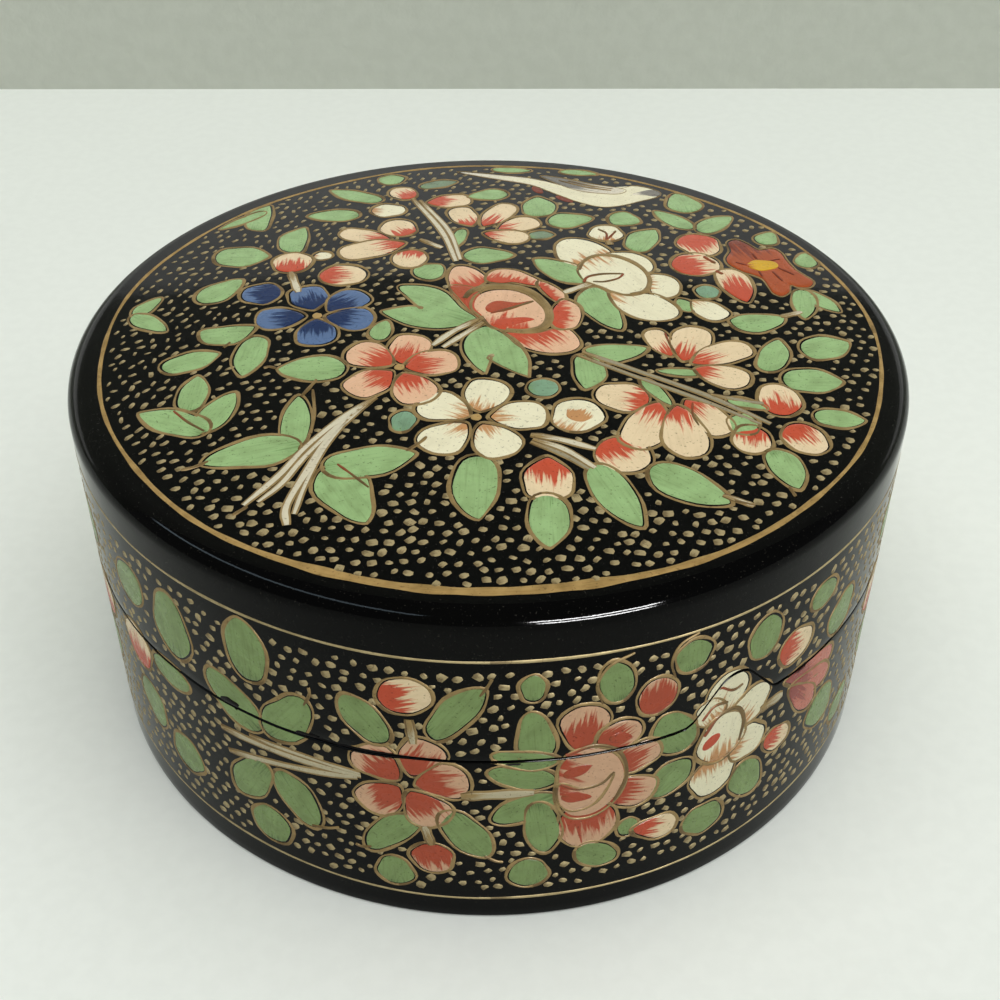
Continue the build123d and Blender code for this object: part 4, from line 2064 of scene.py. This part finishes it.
class WallPainting:
    """The garland round the wall, drawn for the front and carried on round the back."""

    LEAVES: Table = (
        (-41.1, 30.4, 5.8, 5.0, 40),
        (-33.6, 29.8, 8.5, 5.3, 90),
        (-23.7, 32.3, 7.8, 4.6, 90),
        (-26.0, 24.4, 8.0, 4.7, 137),
        (-19.7, 25.0, 8.2, 4.4, 55, 20),
        (-35.5, 22.0, 6.2, 3.4, 0),
        (-41.2, 13.5, 6.2, 4.7, -70),
        (-35.4, 10.5, 5.3, 5.0, 60),
        (-25.2, 13.8, 7.7, 4.2, 238),
        (-19.7, 13.5, 7.7, 4.2, -62),
        (-23.7, 7.7, 5.2, 4.8, 90),
        (-11.6, 28.0, 6.6, 3.7, 125),
        (-2.8, 29.8, 8.2, 3.3, 55, 0, 0.3),
        (-9.4, 12.2, 8.2, 3.3, 228, 0, -0.3),
        (-2.4, 13.0, 7.6, 3.8, -58),
        (-9.8, 6.5, 4.3, 3.7, 90),
        (3.9, 33.2, 3.2, 2.2, 90),
        (11.4, 32.6, 5.2, 3.2, 100),
        (18.8, 33.4, 3.9, 3.7, 90),
        (27.6, 31.7, 5.4, 4.0, 90),
        (35.8, 32.3, 4.2, 3.3, 0),
        (17.9, 23.7, 6.4, 4.4, 118),
        (17.9, 17.2, 5.4, 4.2, 40),
        (28.0, 11.8, 6.2, 4.1, -65),
        (22.4, 8.6, 5.0, 4.4, -20),
        (10.6, 8.6, 4.8, 3.3, -35),
        (3.7, 7.1, 4.2, 3.9, 90),
        (13.8, 11.8, 2.5, 2.1, 90),
        (40.2, 13.6, 6.0, 5.2, -65),
        (40.6, 26.8, 5.6, 4.6, 60),
        (46.0, 9.0, 5.0, 3.8, 40),
        (4.0, 26.6, 7.2, 3.3, 95),
        (3.2, 23.9, 6.2, 2.3, 168),
        (2.9, 21.3, 6.6, 2.9, 165),
        (3.2, 16.9, 6.8, 3.3, 207),
        (4.8, 13.9, 7.6, 3.3, -83),
    )
    ROSE: Table = (
        (8.6, 27.2, 6.0, 4.4, 84),
        (12.1, 25.3, 4.6, 3.9, 32),
        (13.8, 21.8, 5.4, 3.8, 20),
        (13.4, 17.3, 6.0, 4.2, -20),
        (9.4, 13.5, 6.6, 5.9, -80),
    )
    ROSE_CUP: Path = (
        (6.4, 20.2),
        (6.6, 22.8),
        (8.0, 24.3),
        (10.2, 24.3),
        (12.1, 22.6),
        (12.9, 19.8),
        (12.2, 17.0),
        (10.2, 15.1),
        (7.8, 15.2),
        (6.5, 17.4),
    )
    ROSE_LIP: Path = (
        (6.6, 19.9),
        (8.4, 18.9),
        (10.6, 19.2),
        (11.7, 20.4),
        (11.0, 18.2),
        (9.8, 16.6),
        (7.9, 16.2),
        (6.7, 17.6),
    )
    ROSE_SPOTS: Table = (
        (8.2, 21.6, 3.0, 1.5, 20),
        (8.2, 17.9, 3.2, 1.5, -12),
        (12.2, 25.2, 2.4, 1.3, -10),
    )
    CHIPS: tuple[tuple[float, Path], ...] = (
        (1.0, ((-27.6, 23.7), (-26.8, 23.9), (-26.2, 23.9), (-25.4, 23.7))),
        (0.8, ((-18.8, 23.6), (-17.6, 23.7), (-16.4, 23.6))),
        (0.7, ((-10.6, 23.6), (-9.0, 23.6))),
        (0.6, ((1.4, 23.5), (2.8, 23.5))),
        (0.7, ((33.0, 23.6), (34.6, 23.6))),
    )
    WHITE_ROSE: Table = (
        (23.4, 26.5, 5.6, 4.8, 70),
        (21.6, 24.6, 3.6, 3.0, 120),
        (26.8, 23.0, 5.4, 4.4, 50),
        (27.1, 17.6, 4.7, 4.6, -20),
        (23.1, 15.0, 5.6, 5.4, -80),
    )
    HALF_OPEN: Table = (
        (35.8, 22.3, 8.8, 3.4, -12),
        (36.4, 20.2, 8.0, 3.2, -24),
        (34.9, 18.9, 7.4, 2.8, -48),
    )
    BUDS: Table = (
        (-7.7, 31.7, 5.1, 4.3, 20),
        (32.3, 27.7, 4.9, 4.4, -5),
        (-42.2, 21.2, 5.8, 5.6, 90),
        (16.7, 10.5, 5.0, 3.3, -15),
        (31.7, 15.1, 4.2, 3.3, -30),
    )
    CORAL_BUDS: Table = (
        (-5.7, 9.2, 4.4, 4.1, -80),
        (15.6, 29.5, 4.6, 3.9, 85),
    )
    STALKS: tuple[tuple[float, Path], ...] = (
        (0.45, ((-24.6, 20.3), (-18.0, 20.5), (-12.5, 20.2))),
        (0.75, ((-28.4, 19.3), (-21.0, 19.7), (-12.4, 19.9))),
        (0.7, ((-27.8, 16.2), (-20.9, 18.0), (-12.8, 19.6))),
        (1.2, ((-2.8, 18.8), (0.6, 19.1), (4.1, 19.2))),
        (0.8, ((-7.4, 28.8), (-7.1, 25.6))),
        (0.8, ((-5.8, 11.2), (-6.4, 14.0))),
        (1.3, ((28.2, 21.4), (31.4, 21.6))),
    )
    DARK_STROKES: tuple[tuple[float, Path], ...] = (
        (0.5, ((7.0, 24.0), (9.8, 24.8), (12.2, 23.2), (13.1, 19.8), (12.0, 16.4))),
        (0.45, ((6.6, 20.0), (8.4, 19.0), (10.6, 19.3), (11.8, 20.6))),
        (0.6, ((21.3, 21.6), (22.6, 23.6), (24.8, 23.8), (26.0, 21.6), (25.8, 18.6))),
        (0.4, ((20.8, 24.0), (22.0, 25.4), (23.6, 25.2))),
        (0.35, ((22.4, 27.8), (24.0, 26.6), (25.2, 26.8))),
    )
    TAILS: tuple[tuple[float, Path], ...] = (
        (0.35, ((-0.9, 32.4), (-0.2, 33.6), (0.2, 34.6))),
        (0.35, ((-0.6, 10.0), (0.4, 9.2), (1.2, 9.0))),
        (0.35, ((-18.3, 10.3), (-16.6, 10.6), (-15.2, 11.3))),
        (0.35, ((-17.6, 27.8), (-16.9, 29.4), (-16.9, 30.4))),
        (0.35, ((-11.9, 9.6), (-12.9, 9.2), (-13.6, 9.4))),
        (0.3, ((10.2, 30.2), (9.6, 32.6), (10.6, 34.8), (12.9, 35.9))),
        (0.3, ((17.2, 31.4), (16.7, 33.4), (17.4, 35.4), (19.2, 36.2))),
    )
    PERIOD: float = 94.25

    def front(self) -> Painting:
        """The stretch of the garland that faces the front.

        Returns:
            The painting.
        """
        art = Painting()
        # Leaves in greens darkened as painted shade for the wall.
        art.marks += leaves(self.LEAVES, SHADED_WALL_LEAF_TINTS, Form.EGG)
        # Stalks in a cream darkened as painted shade for the wall.
        art.pens += strokes(self.STALKS, 0.22, pale=Tint.SHADED_WALL_STEM)
        coral: Path = ((-6.5, 23.6), (-4.6, 20.6), (-6.3, 16.6), (-10.5, 17.4), (-10.6, 22.1))
        # Coral flowers, buds and roses in colours darkened as painted shade for the wall.
        art.marks += petals((-8.2, 19.7), coral, (5.2, 4.5), SHADED_WALL_CORAL_TINTS, 0.7)
        art.marks += blooms(self.BUDS, BUD_TINTS, 0.58)
        art.marks += blooms(self.CORAL_BUDS, SHADED_WALL_CORAL_TINTS, 0.85)
        art.marks += blooms(self.HALF_OPEN, (Tint.ROSE, Tint.DARK_ROSE), 0.5)
        art.marks += blooms(self.ROSE, SHADED_WALL_CORAL_TINTS, 0.7)
        art.marks += patches(((-30, self.ROSE_CUP),), SHADED_WALL_CORAL_TINTS, 0.2, 6)
        art.marks += patches(((-25, self.ROSE_LIP),), SHADED_WALL_CORAL_TINTS, 0.3, 7)
        # Spots in a coral darkened as painted shade for the wall.
        for x, z, length, width, heading in self.ROSE_SPOTS:
            blot = Touch(x, z, length, width, heading, coat=Coat.PETALS, line=0.0)
            art.marks.append(replace(blot, pale=Tint.SHADED_WALL_CORAL, deep=Tint.MOUTH, order=8))
        art.marks += blooms(self.WHITE_ROSE, (Tint.CREAM, Tint.BISCUIT), 0.36)
        art.marks += blooms(((23.5, 20.4, 6.6, 5.6, 90),), CREAM_TINTS, 0.25, 6)
        spot = Touch(22.2, 20.4, 2.4, 1.5, 40, form=Form.ROUND, coat=Coat.PETALS, line=0.0)
        art.marks.append(replace(spot, pale=Tint.CORAL, deep=Tint.UNDER_ROSE, order=7))
        dark = {"coat": Coat.LINES, "pale": Tint.LINE_SHADE, "deep": Tint.MOUTH, "order": 9}
        art.pens += strokes(self.DARK_STROKES, 0.0, **dark)
        art.pens += strokes(self.TAILS, 0.0, **(dark | {"pale": Tint.LINE, "deep": Tint.LINE_SHADE}))
        bare = {"coat": Coat.STEMS, "pale": Tint.BARE, "deep": Tint.BARE, "order": 10}
        art.pens += strokes(self.CHIPS, 0.0, **bare)
        return art

    def painting(self) -> Painting:
        """The whole garland: the front, and two more stretches round the back.

        Returns:
            The painting.
        """
        front = self.front()
        whole = Painting(list(front.marks), list(front.pens))
        for shift, mirror in ((self.PERIOD, False), (2 * self.PERIOD, True)):
            whole.marks += [mark.moved(shift, mirror) for mark in front.marks]
            whole.pens += [pen.moved(shift, mirror) for pen in front.pens]
        return whole


@dataclass
class GoldLines:
    """The gold ring on the lid and the two gold lines round the wall."""

    sizes: BoxSizes = BoxSizes()
    ring_centre: tuple[float, float] = (0.25, -0.3)
    ring_radius: float = 41.6
    thin: float = 0.5
    thick: float = 1.25
    wall_levels: tuple[float, float] = (3.7, 36.6)

    def ring(self, surface: CrownSurface) -> Film:
        """The lid's ring: thick at the front and thin at the back.

        Its half width grows with the sixth power of how far the place faces the front.

        Args:
            surface: The crown.

        Returns:
            The film of gold.
        """
        film = Film(surface)
        turn = np.linspace(0, TURN, 361)[:-1]
        radius = self.ring_radius + 0.12 * np.sin(5 * turn) + 0.08 * np.sin(11 * turn + 1)
        course = np.stack([np.cos(turn), np.sin(turn)], axis=1) * radius[:, None]
        course = course + np.array(self.ring_centre)
        front = np.clip(-np.sin(turn), 0, 1) ** 6
        half = 0.5 * (self.thin + (self.thick - self.thin) * front)
        rough = 0.2 * np.sin(17 * turn) * np.sin(5 * turn + 2)
        rough = rough + 0.16 * np.sin(43 * turn) * np.sin(11 * turn + 1)
        half = half * (1 + rough)
        film.draw(course, half, True, (Tint.GOLD, Tint.GOLD_SHADE), 0, 0.3)
        return film

    def wall_line(self, surface: WallSurface, level: float) -> Film:
        """A line round the wall at one level, a little unsteady.

        Args:
            surface: The half of the wall that it is on.
            level: Its height.

        Returns:
            The film of gold.
        """
        film = Film(surface)
        turn = np.linspace(0, TURN, 361)[:-1]
        sway = -0.4 * np.sin(turn) if level > self.sizes.saw_level else -0.5 * np.cos(2 * turn)
        height = level + sway + 0.1 * np.sin(3 * turn + level) + 0.07 * np.sin(9 * turn)
        course = np.stack([turn * self.sizes.radius, height], axis=1)
        half = 0.5 * 0.4 * (1 + 0.24 * np.sin(13 * turn) * np.sin(4 * turn + 1))
        side = np.tile(np.array([[0.0, 1.0]]), (len(turn), 1))
        offsets = np.array([-1.0, -0.6, 0.6, 1.0])
        plan = np.concatenate([course + side * half[:, None] * part for part in offsets])
        top = film.line_height
        lift = np.repeat([-film.sink, top, top, -film.sink], len(turn))
        faces = grid_faces(4, len(turn), False, True)[:, ::-1]
        where = np.stack(
            [np.tile(turn * 9, 4), np.repeat(offsets, len(turn)), np.full(len(lift), 0.6)], axis=1
        )
        film.add(plan, lift, [faces], where, (Tint.DOT, Tint.DOT_SHADE), 0.4)
        return film


# ---------------------------------------------------------------------------------------
# Sub-assemblies
# ---------------------------------------------------------------------------------------


@dataclass
class Lid:
    """The lid: one shell of wall, shoulder and dome, and what is painted on it."""

    sizes: BoxSizes = BoxSizes()
    saw: SawLine = SawLine()
    seed: int = 11

    def stations(self) -> list[tuple[float, float, float]]:
        """The lid's section, from the apex round the sawn edge to the middle of its ceiling.

        Returns:
            The stations.
        """
        size = self.sizes
        crown = CrownSurface(size)
        radius = np.concatenate([np.linspace(0, crown.meet, 44), [crown.meet + 0.01]])
        height = crown.section(radius)[0]
        path = [(float(r), float(z), 0.0) for r, z in zip(radius, height)]
        bend = size.shoulder - size.skin
        path += arc_stations((size.shoulder_centre, size.wall_top), bend, 84, 0, 12, 0.0)
        edge = size.saw_level
        top = (size.face, size.wall_top, 0.0)
        foot = (size.face, edge + size.sawn_edge, 1.0)
        path += run_stations(top, foot, 16)
        turned = (size.face - size.sawn_edge, edge + size.sawn_edge)
        path += arc_stations(turned, size.sawn_edge, 0, -90, 5, 1.0)
        path += [(size.bore + size.lead_in + 0.2, edge, 1.0), (size.bore + size.lead_in, edge, 1.0)]
        path += [(size.bore, edge + size.lead_in, 1.0)]
        ceiling = size.wall_top - size.spigot
        path += run_stations((size.bore, edge + size.lead_in, 1.0), (size.bore, ceiling, 0.0), 8)
        path += arc_stations((size.bore - 0.6, ceiling - 0.6), 0.6, 0, 90, 5, 0.0)
        path += run_stations((size.bore - 0.6, ceiling, 0.0), (0.0, ceiling, 0.0), 10)
        path += [(0.0, ceiling, 0.0)]
        return path

    def build(self, lacquer: Any, inner: Any, paints: dict[Coat, Any]) -> None:
        """Builds and dresses the lid.

        Args:
            lacquer: Material of its outside.
            inner: Material of its inside.
            paints: Materials of the painting.
        """
        shell = Shell("lid_shell", self.stations(), self.saw, 1.0, False).build()
        dress_shell(shell, lacquer, inner, self.sizes)
        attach(shell, Half.LID.value)
        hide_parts("lid_wall", "lid_crown")
        LOG.info("lid_shell: %d faces", len(shell.data.polygons))
        crown = CrownSurface(self.sizes)
        art = LidPainting().painting()
        dots = Dots((-42, -42), (42, 42), spacing=1.53, size=0.86, margin=0.2, disc=41.05)
        Painter(crown, art, "crown", Half.LID, self.seed).paint(paints, dots)
        wall = WallSurface(self.sizes, self.saw, Half.LID)
        art = WallPainting().painting()
        dots = Dots((-45, 4.7), (237, 35.4), spacing=1.58, size=0.92, margin=0.14)
        Painter(wall, art, "lid_wall", Half.LID, self.seed + 1).paint(paints, dots)
        lines = GoldLines(self.sizes)
        for name, film in (
            ("crown_ring", lines.ring(crown)),
            ("lid_gold_line", lines.wall_line(wall, lines.wall_levels[1])),
        ):
            piece = film.build(name, paints[Coat.GOLD])
            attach(piece, Half.LID.value)
            LOG.info("%s: %d faces", name, len(piece.data.polygons))


def dress_shell(shell: Any, lacquer: Any, inner: Any, sizes: BoxSizes) -> None:
    """Gives a shell its outer lacquer, and the inner paint where it faces inwards.

    Args:
        shell: The shell's object.
        lacquer: Material of the outside.
        inner: Material of the inside.
        sizes: The box's sizes.
    """
    mesh = shell.data
    mesh.materials.append(lacquer)
    mesh.materials.append(inner)
    centres = np.empty(len(mesh.polygons) * 3)
    mesh.polygons.foreach_get("center", centres)
    centres = centres.reshape(-1, 3) / MM
    radius = np.hypot(centres[:, 0], centres[:, 1])
    within = radius < sizes.face - sizes.sawn_edge * 0.9
    ceiling = sizes.wall_top - sizes.spigot + 0.3
    low = (centres[:, 2] < ceiling) & (centres[:, 2] > sizes.floor * 0.5)
    mesh.polygons.foreach_set("material_index", (within & low).astype(np.int32))


@dataclass
class Base:
    """The base: wall with the tongue, the collar inside it, the floor, and the painting."""

    sizes: BoxSizes = BoxSizes()
    saw: SawLine = SawLine()
    collar_thickness: float = 1.8
    collar_rise: float = 7.4
    collar_lead_in: float = 0.7
    glue_gap: float = 0.05
    lid_clearance: float = 0.3
    seed: int = 23

    def wall_stations(self) -> list[tuple[float, float, float]]:
        """The wall's section, round from the foot's rebate to the inside.

        Returns:
            The stations.
        """
        size = self.sizes
        edge = size.saw_level
        foot = size.foot_chamfer
        path = [(size.bore + size.rebate, 0.0, 0.0), (size.face - foot - 0.1, 0.0, 0.0)]
        path += arc_stations((size.face - foot, foot), foot, -90, 0, 5, 0.0)
        path += run_stations((size.face, foot, 0.0), (size.face, edge - size.sawn_edge, 1.0), 22)
        turned = (size.face - size.sawn_edge, edge - size.sawn_edge)
        path += arc_stations(turned, size.sawn_edge, 0, 90, 5, 1.0)
        path += arc_stations((size.bore + 0.2, edge - 0.2), 0.2, 90, 180, 4, 1.0)
        path += run_stations((size.bore, edge - 0.2, 1.0), (size.bore, size.floor, 0.0), 8)
        path += [(size.bore, size.floor, 0.0), (size.bore + size.rebate, size.floor, 0.0)]
        return path

    def collar_stations(self) -> list[tuple[float, float, float]]:
        """The collar's section: tight below the cut, eased above it, with a rounded rim.

        Returns:
            The stations.
        """
        size = self.sizes
        tight = size.bore - self.glue_gap
        eased = size.bore - self.lid_clearance
        bore = tight - self.collar_thickness
        top = size.saw_level + self.collar_rise
        lead = self.collar_lead_in
        path = [(tight, size.floor, 0.0)]
        path += run_stations((tight, size.floor, 0.0), (tight, size.saw_level - 0.5, 0.0), 5)
        path += [(tight, size.saw_level - 0.5, 0.0), (eased, size.saw_level, 0.0)]
        path += run_stations((eased, size.saw_level, 0.0), (eased, top - lead, 0.0), 5)
        path += arc_stations((eased - lead, top - lead), lead, 0, 90, 7, 0.0)
        path += arc_stations((bore + 0.3, top - 0.3), 0.3, 90, 180, 5, 0.0)
        path += run_stations((bore, top - 0.3, 0.0), (bore, size.floor, 0.0), 8)
        path += [(bore, size.floor, 0.0)]
        return path

    def build(self, lacquer: Any, inner: Any, paints: dict[Coat, Any]) -> None:
        """Builds and dresses the base.

        Args:
            lacquer: Material of its outside.
            inner: Material of its inside.
            paints: Materials of the painting.
        """
        shell = Shell("base_shell", self.wall_stations(), self.saw, -1.0, True).build()
        dress_shell(shell, lacquer, inner, self.sizes)
        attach(shell, Half.BASE.value)
        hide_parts("base_wall")
        collar = Shell("inner_collar", self.collar_stations(), self.saw, 0.0, True).build()
        collar.data.materials.append(inner)
        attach(collar, Half.BASE.value)
        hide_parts("locating_collar")
        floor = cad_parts["base_floor"]
        floor.data.materials.clear()
        floor.data.materials.append(inner)
        for piece in (shell, collar, floor):
            LOG.info("%s: %d faces", piece.name, len(piece.data.polygons))
        wall = WallSurface(self.sizes, self.saw, Half.BASE)
        art = WallPainting().painting()
        dots = Dots((-45, 4.7), (237, 35.4), spacing=1.58, size=0.92, margin=0.14)
        Painter(wall, art, "base_wall", Half.BASE, self.seed).paint(paints, dots)
        lines = GoldLines(self.sizes)
        line = lines.wall_line(wall, lines.wall_levels[0]).build("base_gold_line", paints[Coat.GOLD])
        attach(line, Half.BASE.value)


@dataclass
class Studio:
    """The white table, the pale wall behind it, the light and the camera."""

    eye: tuple[float, float, float] = (0.0, -0.1316, 0.1233)
    yaw: float = 0.5377
    pitch: float = 38.451
    roll: float = 0.1626
    lens: float = 50.9

    def camera(self) -> None:
        """Sets the camera from its place and three angles, and makes it the scene's."""
        yaw, pitch, roll = (radians(part) for part in (self.yaw, self.pitch, self.roll))
        level = Vector((sin(yaw), cos(yaw), 0))
        right = Vector((cos(yaw), -sin(yaw), 0))
        up = Vector((0, 0, 1))
        ahead = level * cos(pitch) - up * sin(pitch)
        up = up * cos(pitch) + level * sin(pitch)
        tilted_right = right * cos(roll) + up * sin(roll)
        tilted_up = up * cos(roll) - right * sin(roll)
        turn = Matrix((tilted_right, tilted_up, -ahead)).transposed().to_4x4()
        lens = bpy.data.cameras.new("camera")
        lens.lens = self.lens
        lens.sensor_width = 36.0
        lens.clip_start = 0.005
        camera = bpy.data.objects.new("camera", lens)
        camera.matrix_world = Matrix.Translation(Vector(self.eye)) @ turn
        bpy.context.scene.collection.objects.link(camera)
        bpy.context.scene.camera = camera

    def sheet(self, name: str, corners: list[tuple[float, float, float]], material: Any) -> None:
        """Adds a flat stage surface with four corners."""
        mesh = bpy.data.meshes.new(name)
        mesh.from_pydata(corners, [], [(0, 1, 2, 3)])
        mesh.materials.append(material)
        thing = bpy.data.objects.new(name, mesh)
        bpy.context.scene.collection.objects.link(thing)

    def lamp(self, name: str, at: Vector, size: tuple[float, float], power: float) -> Any:
        """Adds a rectangular lamp that looks at the box, and returns it."""
        light = bpy.data.lights.new(name, "AREA")
        light.shape = "RECTANGLE"
        light.size, light.size_y = size
        light.energy = power
        thing = bpy.data.objects.new(name, light)
        thing.location = at
        thing.rotation_euler = (Vector((0, 0, 0.02)) - at).to_track_quat("-Z", "Y").to_euler()
        bpy.context.scene.collection.objects.link(thing)
        return thing

    def build(self) -> None:
        """Builds the stage, the lamps, the world and the camera."""
        table = Plain("white_table", (237, 241, 234), (232, 236, 229), 500.0, 0.00003, 0.45)
        plaster = Plain("pale_plaster", (202, 206, 194), (194, 198, 186), 300.0, 0.0003)
        far = 0.17
        wide = 2.0
        self.sheet(
            "table",
            [(-wide, -wide, 0), (wide, -wide, 0), (wide, far, 0), (-wide, far, 0)],
            table.material(),
        )
        self.sheet(
            "plaster_wall",
            [(-wide, far, 0), (wide, far, 0), (wide, far, 0.6), (-wide, far, 0.6)],
            plaster.material(),
        )
        ceiling = self.lamp("ceiling", Vector((0.15, -0.3, 1.1)), (1.5, 1.5), 14.8)
        ceiling.visible_glossy = False
        white = (1.0, 1.0, 1.0)
        for name, at, size, power, colour in (
            ("high_gleam", Vector((0.36, -0.8, 0.27)), (0.46, 0.05), 23.0, white),
            ("low_gleam", Vector((0.36, -0.8, 0.11)), (0.4, 0.05), 18.0, white),
            ("left_gleam", Vector((-0.53, -0.31, 0.66)), (1.1, 0.07), 3.0, (0.62, 0.8, 0.9)),
            ("haze", Vector((0.0, 0.15, 0.088)), (0.9, 0.05), 0.15, white),
        ):
            lamp = self.lamp(name, at, size, power)
            lamp.data.color = colour
            lamp.visible_diffuse = False
            lamp.visible_camera = False
        world = bpy.data.worlds.new("room")
        world.use_nodes = True
        world.node_tree.nodes["Background"].inputs[0].default_value = (0.74, 0.76, 0.78, 1)
        world.node_tree.nodes["Background"].inputs[1].default_value = 0.34
        bpy.context.scene.world = world
        bpy.context.scene.view_settings.view_transform = "Standard"
        self.camera()


def main() -> None:
    """Builds the box and the studio."""
    logging.basicConfig(level=logging.INFO, format="%(name)s %(message)s")
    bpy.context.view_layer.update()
    lacquer = BlackLacquer().material()
    inner = InnerLacquer().material()
    paints = {
        Coat.LEAVES: BrushPaint("leaf_paint", mottle=0.35).material(),
        Coat.PETALS: BrushPaint("petal_paint", mottle=0.15).material(),
        Coat.STEMS: BrushPaint("stem_paint", mottle=0.12).material(),
        Coat.LINES: BrushPaint("outline_paint", mottle=0.5, gloss=0.42, metal=0.1).material(),
        Coat.GOLD: BrushPaint("gold_paint", mottle=0.6, gloss=0.42, metal=0.2).material(),
        Coat.DOTS: BrushPaint("gold_dot_paint", mottle=0.4, gloss=0.42, metal=0.1).material(),
    }
    Base().build(lacquer, inner, paints)
    Lid().build(lacquer, inner, paints)
    Studio().build()


if __name__ == "__main__":
    main()
